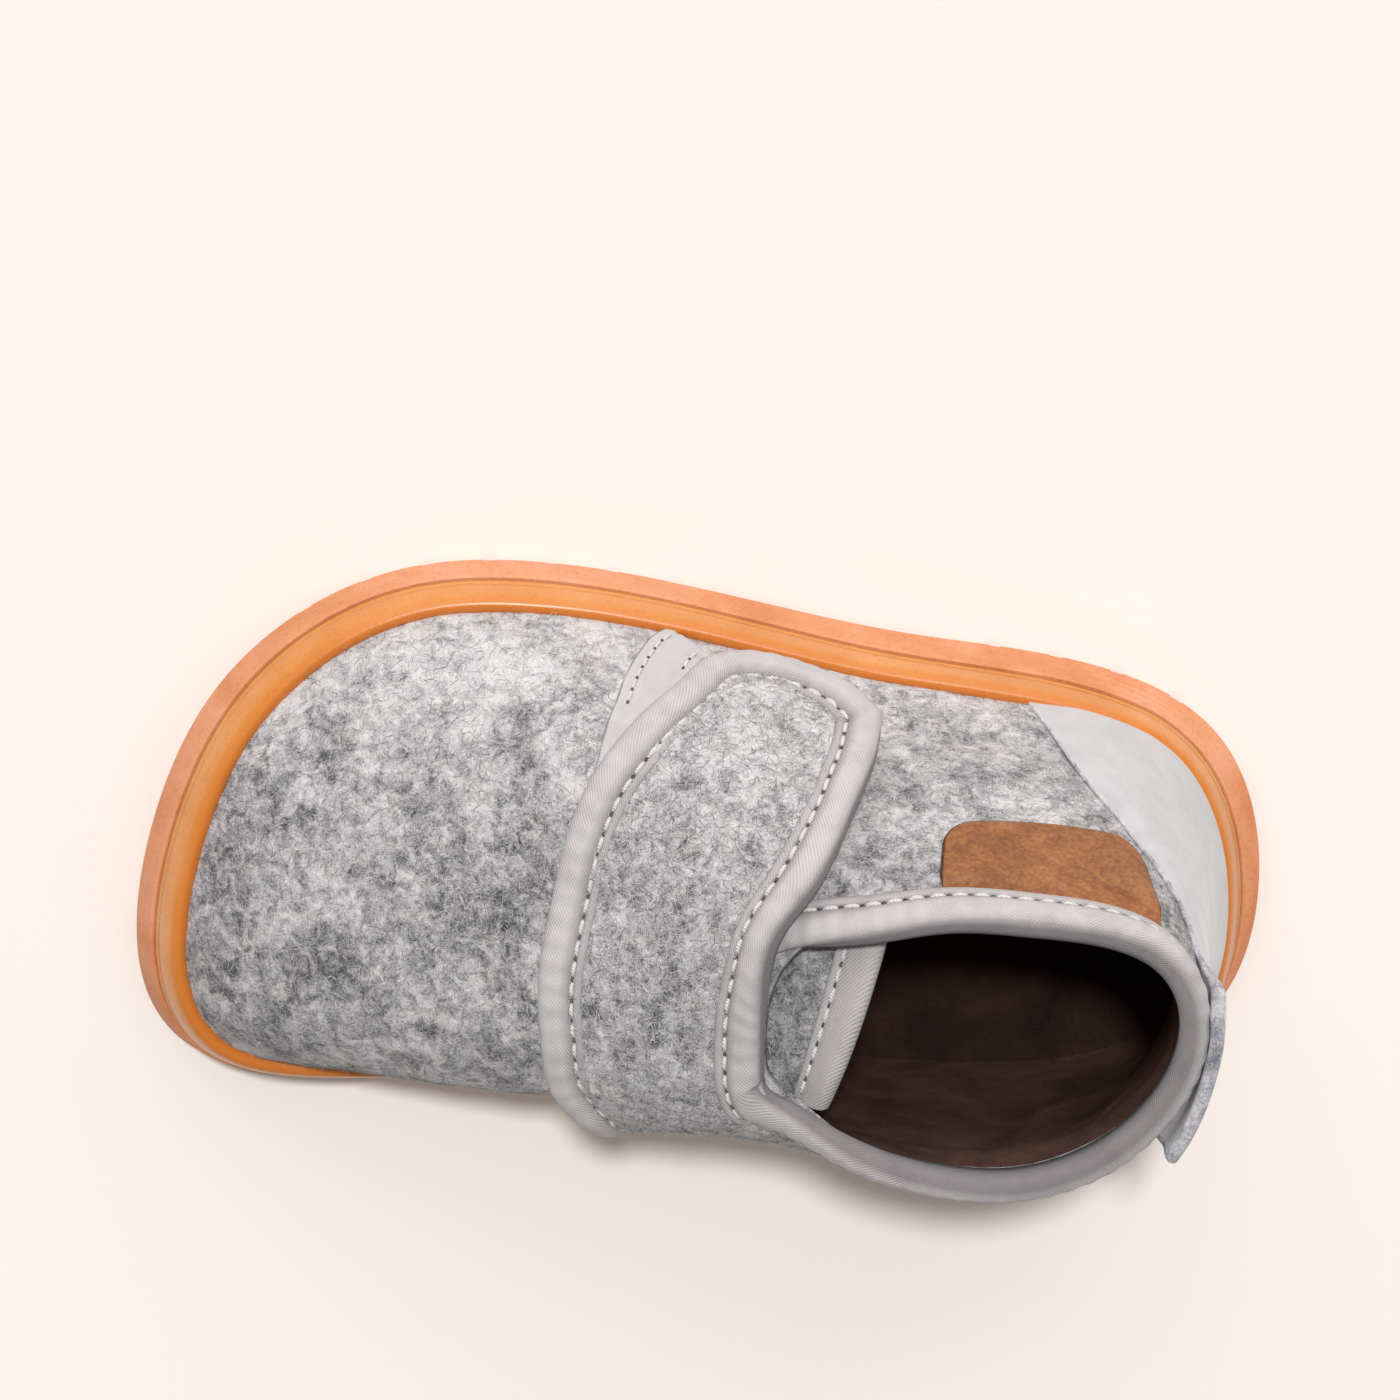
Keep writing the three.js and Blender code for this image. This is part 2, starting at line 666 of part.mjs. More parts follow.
// Wraps a tape round a path of places on the last. faces gives the felt's lower and upper face there.
function tape(path, faces, slot) {
  const profile = tapeProfile(TAPE_LEG, TAPE_UNDER_LEG, slot);
  const lines = path.map(([s, t], i) => {
    const ahead = path[Math.min(i + 1, path.length - 1)];
    const behind = path[Math.max(i - 1, 0)];
    const along = shell(ahead[0], ahead[1]).sub(shell(behind[0], behind[1]));
    const { normal } = shellWays(s, t);
    return new THREE.Vector3().crossVectors(normal, along).normalize();
  });
  const stations = path.map((place, i) => i);
  return sweep(stations, (i) => {
    const [s, t] = path[i];
    return profile.map((p) => {
      const [a, b] = walk(s, t, lines[i], p.out);
      const [low, high] = faces(a, b);
      const side = p.face === 1 ? 1 : -1;
      const off = p.face === 0.5 ? (low + high) / 2 : lerp(low, high, p.face) + side * p.off;
      return shellAt(a, b, off);
    });
  }, flatProfile(profile));
}

function flapBinding() {
  const path = [];
  for (let i = 1; i <= FLAP_LONG; i += 1) path.push(flapFront(i / FLAP_LONG));
  for (let i = 1; i <= FLAP_WIDE; i += 1) path.push(flapEnd(i / FLAP_WIDE));
  for (let i = FLAP_LONG - 1; i >= 1; i -= 1) path.push(flapRear(i / FLAP_LONG));
  const faces = (s) => [flapUnderside(s), flapUnderside(s) + flapThickness(s)];
  return tape(path, faces, FLAP_SLOT);
}

function collarBinding() {
  const path = [];
  const first = 12.15;
  const last = 2.6;
  for (let i = 0; i <= COLLAR_STATIONS; i += 1) {
    path.push([lerp(first, last, i / COLLAR_STATIONS), 1]);
  }
  return tape(path, () => [-FELT_WALL, 0], SLACK);
}

// The tongue, an arch between the two sides of the lining.
function tongueMiddle(u, v) {
  const outer = openColumn(TONGUE, 'outer')(v);
  const inner = openColumn(TONGUE, 'inner')(v);
  const side = openColumn(TONGUE, 'side')(v);
  const depth = FELT_WALL + SEAT + TAPE + SLACK + SEAT + TAPE + TONGUE_FELT / 2;
  const a = shellAt(inner, side, -depth);
  const b = shellAt(outer, side, -depth);
  const crown = a.clone().add(b).multiplyScalar(0.5);
  crown.z += 2 * TONGUE_RISE * openColumn(TONGUE, 'crown')(v);
  return a.multiplyScalar((1 - u) ** 2).addScaledVector(crown, 2 * u * (1 - u)).addScaledVector(b, u * u);
}

function tongueWays(u, v) {
  const h = 0.001;
  const across = tongueMiddle(u + h, v).sub(tongueMiddle(u - h, v));
  const back = tongueMiddle(u, Math.min(v + h, 1)).sub(tongueMiddle(u, Math.max(v - h, 0)));
  const normal = new THREE.Vector3().crossVectors(back, across).normalize();
  if (normal.z < 0) normal.negate();
  return { back: back.normalize(), normal };
}

function tongueAt(u, v, off) {
  return tongueMiddle(u, v).addScaledVector(tongueWays(u, v).normal, off);
}

function tongue() {
  return sheet(14, 6, (u, v, face) => tongueAt(u, v, (face - 0.5) * TONGUE_FELT));
}

function tongueBinding() {
  const half = TONGUE_FELT / 2;
  const profile = [
    { out: -TONGUE_TAPE_LEG, off: half + SEAT },
    { out: -TONGUE_TAPE_LEG, off: half + SEAT + TAPE },
    { out: -0.5, off: half + SEAT + TAPE },
    { out: 1, off: half },
    { out: 1.3, off: 0 },
    { out: 1, off: -half },
    { out: -0.5, off: -half - SEAT - TAPE },
    { out: -TONGUE_TAPE_LEG, off: -half - SEAT - TAPE },
    { out: -TONGUE_TAPE_LEG, off: -half - SEAT },
    { out: SEAT, off: -half - SEAT },
    { out: SEAT, off: half + SEAT },
  ];
  const length = tongueMiddle(0.5, 1).distanceTo(tongueMiddle(0.5, 0));
  const stations = [...Array(15).keys()].map((i) => i / 14);
  return sweep(stations, (u) => profile.map((p) => {
    const inside = Math.min(p.out, 0);
    const { back } = tongueWays(u, 1);
    return tongueAt(u, 1 + inside / length, p.off).addScaledVector(back, p.out - inside);
  }), profile.map((p) => new THREE.Vector2(p.out, p.off)));
}

// A sheet between four corners on the last, a little off the felt.
function patch(corners, low, thickness, uCount, vCount) {
  const [a, b, c, d] = corners;
  return sheet(uCount, vCount, (u, v, face) => {
    const round = lerp(lerp(a.round, b.round, v), lerp(c.round, d.round, v), u);
    const up = lerp(lerp(a.up, b.up, v), lerp(c.up, d.up, v), u);
    return shellAt(round, up, low(round) + face * thickness);
  });
}

function throatTrim() {
  const front = boundary(THROAT);
  return sheet(14, 3, (u, v, face) => {
    const [s, t] = front(u);
    const ahead = front(Math.min(u + 0.01, 1));
    const behind = front(Math.max(u - 0.01, 0));
    const along = shell(...ahead).sub(shell(...behind));
    const { normal } = shellWays(s, t);
    const rearward = new THREE.Vector3().crossVectors(along, normal).normalize();
    const place = walk(s, t, rearward, -v * TRIM_WIDTH);
    return shellAt(place[0], place[1], SLACK + face * TRIM_THICKNESS);
  });
}

function heelCounter() {
  const up = openColumn(COUNTER, 'up');
  const outer = openColumn(COUNTER, 'outer');
  const inner = openColumn(COUNTER, 'inner');
  const clear = TAPE_ROLL + SLACK;
  return sheet(9, 16, (v, u, face) => {
    const s = lerp(outer(v), inner(v), u);
    const t = up(v);
    const free = smooth((t - 0.78) / 0.13);
    const low = lerp(COUNTER_GAP, clear, free);
    return shellAt(s, t, low + face * lerp(COUNTER_THICKNESS, TAB_THICKNESS, free));
  });
}

const shoe = new THREE.Group();

function add(name, geometry, color, roughness) {
  const material = new THREE.MeshStandardMaterial({ color, roughness, metalness: 0 });
  const mesh = new THREE.Mesh(geometry, material);
  mesh.name = name;
  shoe.add(mesh);
}

add('outsole', outsole(), 0xe2a273, 0.75);
add('foxing', foxing(), 0xe0a064, 0.45);
add('insole', insole(), 0x8b7d70, 0.95);
add('upper', upper(), 0xb9babd, 0.95);
add('tongue', tongue(), 0xb2b3b6, 0.95);
add('tongue_binding', tongueBinding(), 0xcfcdcd, 0.85);
add('instep_flap', instepFlap(), 0xbdbec1, 0.95);
add('flap_binding', flapBinding(), 0xd6d5d6, 0.85);
add('collar_binding', collarBinding(), 0xd6d5d6, 0.85);
add('throat_trim', throatTrim(), 0xd0d0d2, 0.85);
add('heel_counter', heelCounter(), 0xcfcfd2, 0.9);
add('side_label', patch(LABEL_CORNERS, () => SLACK, LABEL_THICKNESS, 8, 4), 0xb98a5c, 0.6);
add('closure_loop_patch', patch(LOOP_CORNERS, () => SLACK, PATCH_THICKNESS, 4, 6), 0x3a3331, 0.9);
add(
  'closure_hook_patch',
  patch(HOOK_CORNERS, (s) => flapUnderside(s) - SEAT - PATCH_THICKNESS, PATCH_THICKNESS, 3, 6),
  0x3a3331,
  0.9,
);

export default shoe;
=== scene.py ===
import math

import bpy
import numpy as np
from bpy.props import FloatProperty, FloatVectorProperty, IntProperty, PointerProperty
from mathutils import Matrix, Vector


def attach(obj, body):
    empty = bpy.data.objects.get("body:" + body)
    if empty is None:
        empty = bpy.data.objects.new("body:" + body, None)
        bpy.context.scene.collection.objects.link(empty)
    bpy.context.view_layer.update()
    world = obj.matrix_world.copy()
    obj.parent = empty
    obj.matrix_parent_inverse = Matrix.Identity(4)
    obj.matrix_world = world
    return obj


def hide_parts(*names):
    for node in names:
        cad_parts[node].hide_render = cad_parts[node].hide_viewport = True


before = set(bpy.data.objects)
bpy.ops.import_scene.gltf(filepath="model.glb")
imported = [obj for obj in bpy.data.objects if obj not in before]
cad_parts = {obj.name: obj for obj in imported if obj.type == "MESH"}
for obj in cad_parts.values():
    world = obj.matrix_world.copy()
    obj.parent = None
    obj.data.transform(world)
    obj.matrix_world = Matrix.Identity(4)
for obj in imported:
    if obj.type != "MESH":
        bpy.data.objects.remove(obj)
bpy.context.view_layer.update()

bl_info = {
    "name": "Felt slipper",
    "version": (1, 0, 0),
    "blender": (4, 5, 0),
    "location": "3D View > Sidebar > Slipper",
    "description": "Makes a child's felted-wool slipper and its stage on the packed frame",
    "category": "Object",
}

MM = 0.001


# What a user would change: sizes in metres, colours, counts and light

def srgb(text):
    """A colour written as six hex digits, as linear red, green, blue and alpha."""
    parts = [int(text[k:k + 2], 16) / 255 for k in (0, 2, 4)]
    return (*[p / 12.92 if p <= 0.04045 else ((p + 0.055) / 1.055) ** 2.4 for p in parts], 1.0)


def length(text, value):
    """A length property with its meaning in plain words."""
    return FloatProperty(name=text.capitalize(), description=text, default=value, unit="LENGTH", precision=5)


def angle(text, value):
    """An angle property, its default in degrees."""
    return FloatProperty(name=text.capitalize(), description=text, default=math.radians(value),
                         subtype="ANGLE")


def strength(text, value):
    """The strength of a light."""
    return FloatProperty(name=text.capitalize(), description=text, default=value, min=0)


def colour(text, value):
    """A colour property, its default in six hex digits."""
    return FloatVectorProperty(name=text.capitalize(), description=text, default=srgb(value), size=4,
                               min=0, max=1, subtype="COLOR")


def number(text, value):
    """A whole number."""
    return IntProperty(name=text.capitalize(), description=text, default=value, min=0)


class SlipperSizes(bpy.types.PropertyGroup):
    """Sizes of the last, the rubber, the felt and the tapes."""
    shoe_length: length("length of the outsole", 0.168)
    ball_width: length("width of the sole at the ball", 0.081)
    heel_height: length("height of the collar at the heel", 0.066)
    toe_spring: length("rise of the sole's toe off the floor", 0.007)
    toe_break: length("where the toe spring starts, ahead of the middle", 0.034)
    heel_bevel: length("rise of the heel's rear edge", 0.0022)
    heel_break: length("where the heel bevel starts, behind the middle", 0.067)
    arch_rise: length("rise of the underside at the arch", 0.0008)
    outsole_edge: length("height of the outsole's side", 0.007)
    foxing_height: length("height of the rand strip", 0.0055)
    foxing_wall: length("thickness of the rand strip", 0.0016)
    foxing_step: length("ledge between outsole and rand strip", 0.0005)
    insole_top: length("height of the insole's top over the underside", 0.0077)
    seat: length("gap between glued pieces", 0.0003)
    felt_wall: length("thickness of the upper's felt", 0.003)
    bound_edge: length("thickness of the felt where the collar's tape presses it", 0.0021)
    flap_felt: length("thickness of the flap's felt", 0.0026)
    flap_lift: length("height of the flap over the upper", 0.0032)
    tongue_felt: length("thickness of the tongue's felt", 0.002)
    tongue_rise: length("crown of the tongue's arch", 0.0035)
    tape_margin: length("distance from the felt's edge to the tape's cut margin", 0.0053)
    tape_stitch: length("distance from the felt's edge to the stitch row", 0.0038)
    tape_roll: length("reach of the rolled tape past the felt's edge", 0.0013)
    tape_crest: length("height of the rolled tape over the felt", 0.0016)
    trim_width: length("width of the throat tape", 0.008)
    stitch_pitch: length("distance from stitch to stitch", 0.003)
    thread: length("radius of the sewing thread", 0.00031)


class SlipperColours(bpy.types.PropertyGroup):
    """The colours of the main materials."""
    felt_dark: colour("darkest strands of the upper's felt", "424043")
    felt_middle: colour("middle grey of the upper's felt", "8a888a")
    felt_pale: colour("pale grey of the upper's felt", "bcb9ba")
    felt_fleck: colour("palest strands of the upper's felt", "dedbda")
    flap_dark: colour("darkest strands of the flap's felt", "464446")
    flap_middle: colour("middle grey of the flap's felt", "918e90")
    flap_pale: colour("pale grey of the flap's felt", "c2bfc0")
    flap_fleck: colour("palest strands of the flap's felt", "e0dddc")
    tape_pale: colour("ribs of the bias tape", "cac5c5")
    tape_dark: colour("gaps between the ribs of the bias tape", "aca6a7")
    thread_pale: colour("lit side of the sewing thread", "e6e3e0")
    thread_dark: colour("gaps between the thread's plies", "bdb9b6")
    sole_deep: colour("deepest amber of the outsole", "d08456")
    sole_main: colour("main amber of the outsole", "da9166")
    sole_dusty: colour("dusty bloom of the outsole", "df9c78")
    rand_deep: colour("deepest amber of the rand", "cf8136")
    rand_main: colour("main amber of the rand", "d68942")
    rand_dusty: colour("palest amber of the rand", "db924e")
    lining_main: colour("main brown of the lining", "5a4139")
    lining_deep: colour("deepest brown of the lining", "402d28")
    lining_pale: colour("rubbed brown of the lining", "735548")
    counter_pale: colour("nap of the heel counter", "c6c4c6")
    counter_dark: colour("handled places of the heel counter", "b3b1b4")
    leather_dark: colour("darkest tan of the leather", "82502a")
    leather_middle: colour("main tan of the leather", "9a6439")
    leather_pale: colour("palest tan of the leather", "ab7546")


class SlipperFibres(bpy.types.PropertyGroup):
    """How many loose wool fibres lie on the felt, and their size."""
    upper_count: number("fibres on the upper", 34000)
    flap_count: number("fibres on the flap", 19000)
    tongue_count: number("fibres on the tongue", 2200)
    reach: length("length of a loose fibre", 0.0024)
    width: length("width of a loose fibre", 0.000055)
    seed: number("start of the random numbers", 7)


class SlipperStage(bpy.types.PropertyGroup):
    """The photograph's viewing angle and its light."""
    distance: length("distance from the camera to the slipper", 0.7)
    elevation: angle("camera's angle over the floor", 68.5)
    lens: FloatProperty(name="Lens", description="focal length in millimetres on a 36 mm frame",
                        default=121.93)
    target: FloatVectorProperty(name="Target", description="point that the camera looks at",
                                default=(-0.00036, -0.0193, 0.0), unit="LENGTH")
    key: strength("strength of the soft main light", 2.2)
    height: angle("the main light's angle over the floor", 60)
    softness: angle("how wide the main light looks from the slipper", 5)
    side: strength("strength of the low wide light on the outer side", 1.3)
    side_height: angle("the side light's angle over the floor", 20)
    side_softness: angle("how wide the side light looks", 70)
    sky: strength("strength of the even light from all sides", 0.29)


GROUPS = {"slipper_sizes": SlipperSizes, "slipper_colours": SlipperColours, "slipper_fibres": SlipperFibres,
          "slipper_stage": SlipperStage}


def sizes():
    """The sizes of this scene."""
    return bpy.context.scene.slipper_sizes


def colours():
    """The colours of this scene."""
    return bpy.context.scene.slipper_colours


# Rows round the last from the toe tip by the outer side to the heel and back by the inner side:
# along, across, rim along, rim across and rim height as shares of length, ball width and heel
# height; leave and arrive, the felt's slopes at the sole and at the collar in degrees, with rise
# and run, the reach of those slopes; lean, the slope of the sole's side; rib, the heel ribs.
COLUMNS = ("along", "across", "rim_along", "rim_across", "rim_up",
           "leave", "rise", "arrive", "run", "lean", "rib")
LAST = (
    (0.5, 0.18, -0.054, 0.135, 0.86, 14, 0.3, 74, 0.62, 10, 0),
    (0.466, -0.12, -0.056, 0.055, 0.86, 14, 0.3, 72, 0.6, 10, 0),
    (0.388, -0.36, -0.068, -0.03, 0.88, 13, 0.28, 60, 0.48, 7, 0),
    (0.235, -0.515, -0.095, -0.1, 0.91, 10, 0.26, 44, 0.38, 3, 0),
    (0.03, -0.477, -0.142, -0.122, 0.94, 8, 0.28, 33, 0.3, 3, 0),
    (-0.16, -0.379, -0.205, -0.159, 0.97, 6, 0.3, 22, 0.28, 8, 0),
    (-0.33, -0.325, -0.28, -0.154, 0.99, 6, 0.3, 19, 0.28, 9, 0.1),
    (-0.464, -0.182, -0.377, -0.112, 1, 8, 0.3, 10, 0.28, 15, 0.8),
    (-0.5, 0.11, -0.407, 0.05, 1.02, 8, 0.3, 8, 0.28, 10, 1),
    (-0.46, 0.395, -0.365, 0.24, 1, 8, 0.3, 8, 0.28, 8, 0.8),
    (-0.32, 0.51, -0.28, 0.345, 0.99, 6, 0.3, 8, 0.28, 3, 0.1),
    (-0.15, 0.505, -0.2, 0.345, 0.97, 10, 0.26, 14, 0.28, 3, 0),
    (0.03, 0.49, -0.13, 0.305, 0.95, 22, 0.18, 22, 0.18, 3, 0),
    (0.22, 0.488, -0.084, 0.24, 0.9, 34, 0.18, 42, 0.18, 4, 0),
    (0.38, 0.488, -0.061, 0.2, 0.87, 30, 0.22, 64, 0.3, 12, 0),
    (0.472, 0.395, -0.055, 0.17, 0.86, 18, 0.28, 72, 0.58, 17, 0),
)
ROUND = len(LAST)

# Cut edges on the last, each place as (row round the last, share of the way from sole to collar).
FLAP_FRONT = ((-3.5, 0.14), (-3.4, 0.29), (-3.17, 0.43), (-2.95, 0.505), (-2.72, 0.563), (-2.45, 0.612),
              (-2.15, 0.656), (-1.8, 0.694), (-1.35, 0.726), (-0.75, 0.75), (-0.1, 0.757), (0.6, 0.748),
              (1.25, 0.73), (1.85, 0.695), (2.5, 0.635), (3.1, 0.56), (3.6, 0.465), (3.95, 0.36))
FLAP_END = ((3.95, 0.36), (4.17, 0.31), (4.43, 0.3), (4.67, 0.345), (4.78, 0.44))
FLAP_REAR = ((-3.75, 0.985), (-3.2, 1), (-2.6, 1), (-1.9, 1), (-1.2, 1), (-0.5, 1), (0.3, 1), (1.1, 1),
             (1.8, 1), (2.4, 0.985), (3.1, 0.945), (3.7, 0.85), (4.2, 0.735), (4.58, 0.59), (4.78, 0.44))
FLAP_ROOT = ((-3.5, 0.14), (-3.8, 0.35), (-3.9, 0.65), (-3.75, 0.985))
FLAP_RISE = ((-3.9, 0.08), (-3.4, 0.14), (-2.4, 0.36), (-1, 0.66), (0.5, 0.85), (2, 1), (5, 1))
THROAT = ((4.04, 0.09), (3.95, 0.14), (3.8, 0.235), (3.57, 0.345), (3.25, 0.455), (2.73, 0.575), (2.1, 0.66))
# The counter's rows: share up the wall, then its outer and its inner side.
COUNTER = ((0.085, 5.74, 10.26), (0.28, 5.95, 10.05), (0.41, 6.15, 9.85), (0.55, 6.5, 9.6),
           (0.66, 6.95, 9.35), (0.77, 7.4, 9.12), (0.88, 7.68, 9), (1.02, 7.75, 8.95))
LABEL = ((5.15, 0.69), (4.96, 0.915), (6.62, 0.615), (6.98, 0.915))
LOOP_PATCH = ((4.08, 0.38), (3.4, 0.72), (4.78, 0.48), (3.93, 0.79))
HOOK_PATCH = ((4, 0.42), (3.35, 0.7), (4.4, 0.46), (3.85, 0.75))
# The tongue's sections: where its two sides meet the lining, how far up, and its crown.
TONGUE = ((2.6, -2, 0.86, 0.3), (3.2, -2.45, 0.88, 0.55), (3.75, -2.8, 0.9, 0.8), (4.15, -3.15, 0.92, 1))
# Soft troughs in the felt: middle row and share, half length in rows, half height in shares, depth.
CREASES = (
    (0.2, 0.685, 2.6, 0.035, 0.55 * MM), (2.2, 0.52, 0.9, 0.03, 0.35 * MM), (-1.4, 0.6, 1.1, 0.03, 0.4 * MM),
    (5.4, 0.3, 0.9, 0.05, 0.45 * MM), (11.2, 0.45, 0.35, 0.22, 0.6 * MM), (4.9, 0.55, 0.18, 0.2, 0.35 * MM),
    (-0.6, 0.3, 1.6, 0.06, 0.3 * MM), (10.2, 0.3, 0.5, 0.05, 0.4 * MM),
)
# Grooves across the underside: first place as a share of the length, and how many.
GROOVES = ((0.02, 7), (-0.42, 4))
FLOOR = 3.0
GROOVE_PITCH = 9 * MM
GROOVE_WIDTH = 2 * MM
GROOVE_DEPTH = 1.3 * MM


# Curves through tables

def round_curve(values):
    """A smooth closed curve close to one value a row."""
    raw = np.array(values, float)
    pulled = raw - (np.roll(raw, 1) - 2 * raw + np.roll(raw, -1)) / 6

    def at(place):
        place = np.asarray(place, float)
        cell = np.floor(place).astype(int)
        f = place - cell
        weights = ((1 - f) ** 3 / 6, (3 * f ** 3 - 6 * f ** 2 + 4) / 6,
                   (-3 * f ** 3 + 3 * f ** 2 + 3 * f + 1) / 6, f ** 3 / 6)
        return sum(weights[k] * pulled[(cell - 1 + k) % len(raw)] for k in range(4))
    return at


def open_curve(table):
    """A smooth curve through the rows of a table, for shares from 0 to 1."""
    rows = np.array(table, float)
    rows = np.vstack([2 * rows[0] - rows[1], rows, 2 * rows[-1] - rows[-2]])

    def at(share):
        place = np.clip(np.asarray(share, float), 0, 1) * (len(table) - 1)
        cell = np.minimum(np.floor(place).astype(int), len(table) - 2)
        f = (place - cell)[..., None]
        a, b, c, d = (rows[cell + k] for k in range(4))
        return b + 0.5 * f * (c - a + f * (2 * a - 5 * b + 4 * c - d + f * (3 * (b - c) + d - a)))
    return at


COLUMN = {name: round_curve([row[k] for row in LAST]) for k, name in enumerate(COLUMNS)}


def smooth(f):
    """A soft step from 0 to 1."""
    f = np.clip(f, 0, 1)
    return f * f * (3 - 2 * f)


def unit(vectors):
    """Vectors of length one."""
    return vectors / np.maximum(np.linalg.norm(vectors, axis=-1, keepdims=True), 1e-12)


def lumps(points, size, seed):
    """Smooth noise from -1 to 1 whose lumps have one size."""
    table = np.random.default_rng(seed).uniform(-1, 1, (32, 32, 32))
    place = points / size
    cell = np.floor(place).astype(int)
    f = smooth(place - cell)
    total = np.zeros(points.shape[:-1])
    for corner in np.ndindex(2, 2, 2):
        weight = np.prod([f[..., k] if corner[k] else 1 - f[..., k] for k in range(3)], axis=0)
        index = (cell + np.array(corner)) % 32
        total += weight * table[index[..., 0], index[..., 1], index[..., 2]]
    return total


# The surface of the last

def lift(x):
    """How far toe spring and heel bevel raise the sole."""
    z = sizes()
    toe = np.maximum(0, (x - z.toe_break) / (z.shoe_length / 2 - z.toe_break))
    heel = np.maximum(0, (-x - z.heel_break) / (z.shoe_length / 2 - z.heel_break))
    return z.toe_spring * toe ** 2 + z.heel_bevel * heel ** 2


def lift_slope(x):
    """The slope of that rise."""
    return (lift(x + 1e-5) - lift(x - 1e-5)) / 2e-5


def outline(s):
    """The sole's outline in plan."""
    z = sizes()
    return np.stack([z.shoe_length * COLUMN["along"](s), z.ball_width * COLUMN["across"](s)], -1)


def rim(s):
    """The collar's rim."""
    z = sizes()
    return np.stack([z.shoe_length * COLUMN["rim_along"](s), z.ball_width * COLUMN["rim_across"](s),
                     z.heel_height * COLUMN["rim_up"](s)], -1)


def inward(curve, s):
    """The direction in plan toward the middle of a closed curve."""
    change = curve(s + 0.01)[..., :2] - curve(s - 0.01)[..., :2]
    return unit(np.stack([change[..., 1], -change[..., 0]], -1))


def sole_side(s, inset, up, extra=0.0):
    """A place on the sole's side: inset from its outline and up above its underside."""
    foot = outline(s)
    run = inset + up * np.tan(np.radians(COLUMN["lean"](s)))
    way = inward(outline, s) * run[..., None]
    slope = lift_slope(foot[..., 0])
    flat = 1 / np.hypot(1, slope)
    return np.stack([foot[..., 0] + (way[..., 0] - up * slope) * flat, foot[..., 1] + way[..., 1],
                     lift(foot[..., 0]) + (way[..., 0] * slope + up) * flat + extra], -1)


def shell(s, t):
    """The upper's outer face, by row round the last and share from sole to collar."""
    z = sizes()
    s, t = np.broadcast_arrays(np.asarray(s, float), np.asarray(t, float))
    inset = z.foxing_step + z.foxing_wall + z.seat
    up = z.outsole_edge + z.seat
    foot = sole_side(s, inset + 0 * s, up)
    rise = z.heel_height * COLUMN["rise"](s)
    leave = np.radians(COLUMN["leave"](s))
    side = rise * (np.sin(leave) - np.cos(leave) * np.tan(np.radians(COLUMN["lean"](s))))
    low = sole_side(s, inset + side, up + rise * np.cos(leave))
    top = rim(s)
    arrive = np.radians(COLUMN["arrive"](s))
    back = np.concatenate([inward(rim, s) * np.sin(arrive)[..., None], np.cos(arrive)[..., None]], -1)
    high = top - back * (z.heel_height * COLUMN["run"](s))[..., None]
    t = t[..., None]
    u = 1 - t
    return foot * u ** 3 + 3 * low * t * u * u + 3 * high * t * t * u + top * t ** 3


def ways(s, t):
    """The two directions along the surface, and its outward normal."""
    h = 0.001
    across = (shell(s + h, t) - shell(s - h, t)) / (2 * h)
    upward = (shell(s, t + h) - shell(s, t - h)) / (2 * h)
    return across, upward, unit(np.cross(upward, across))


def shell_at(s, t, off):
    """A place off the surface along its normal."""
    return shell(s, t) + ways(s, t)[2] * np.asarray(off)[..., None]


def walk(s, t, way, distance, steps=4):
    """Moves places on the last by a distance along the surface."""
    s, t, distance = (np.array(v, float) for v in np.broadcast_arrays(s, t, distance))
    for _ in range(steps):
        across, upward, _normal = ways(s, t)
        rr = (across * across).sum(-1)
        uu = (upward * upward).sum(-1)
        ru = (across * upward).sum(-1)
        r = (across * way).sum(-1)
        u = (upward * way).sum(-1)
        det = rr * uu - ru * ru
        s = s + distance / steps * (r * uu - u * ru) / det
        t = t + distance / steps * (u * rr - r * ru) / det
    return s, t


def climb(s, distance):
    """The share that lies a distance up the wall."""
    share = np.linspace(0, 0.5, 101)
    wall = shell(s[:, None], share[None, :])
    gone = np.cumsum(np.linalg.norm(np.diff(wall, axis=1), axis=-1), axis=1)
    gone = np.hstack([np.zeros((len(s), 1)), gone])
    return np.array([np.interp(distance, row, share) for row in gone])


# Meshes from grids of points

def grid_faces(rows, columns, wrap_rows, wrap_columns):
    """The quads of a grid."""
    i = np.arange(rows if wrap_rows else rows - 1)[:, None]
    j = np.arange(columns if wrap_columns else columns - 1)[None, :]
    a = (i * columns + j).ravel()
    b = (i * columns + (j + 1) % columns).ravel()
    c = (((i + 1) % rows) * columns + (j + 1) % columns).ravel()
    d = (((i + 1) % rows) * columns + j).ravel()
    return np.stack([a, b, c, d], -1)


def make_piece(name, points, faces, materials, slot, replaced=(), face_slots=None, uv=None, sharp=None):
    """A mesh object that rides on the slipper and stands for CAD nodes."""
    mesh = bpy.data.meshes.new(name)
    faces = [face.tolist() for face in faces] if isinstance(faces, list) else faces.tolist()
    mesh.from_pydata(np.asarray(points).reshape(-1, 3).tolist(), [], faces)
    for material in materials:
        mesh.materials.append(material)
    if face_slots is not None:
        mesh.polygons.foreach_set("material_index", np.asarray(face_slots, np.int32))
    if uv is not None:
        layer = mesh.uv_layers.new(name="cloth")
        corner = np.empty(len(mesh.loops), np.int32)
        mesh.loops.foreach_get("vertex_index", corner)
        layer.data.foreach_set("uv", np.asarray(uv, float).reshape(-1, 2)[corner].ravel())
    mesh.validate()
    mesh.update()
    piece = bpy.data.objects.new(name, mesh)
    bpy.context.scene.collection.objects.link(piece)
    outward(piece)
    mesh.shade_smooth()
    if sharp is not None:
        mesh.set_sharp_from_angle(angle=math.radians(sharp))
    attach(piece, "root")
    if replaced:
        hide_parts(*replaced)
    return piece


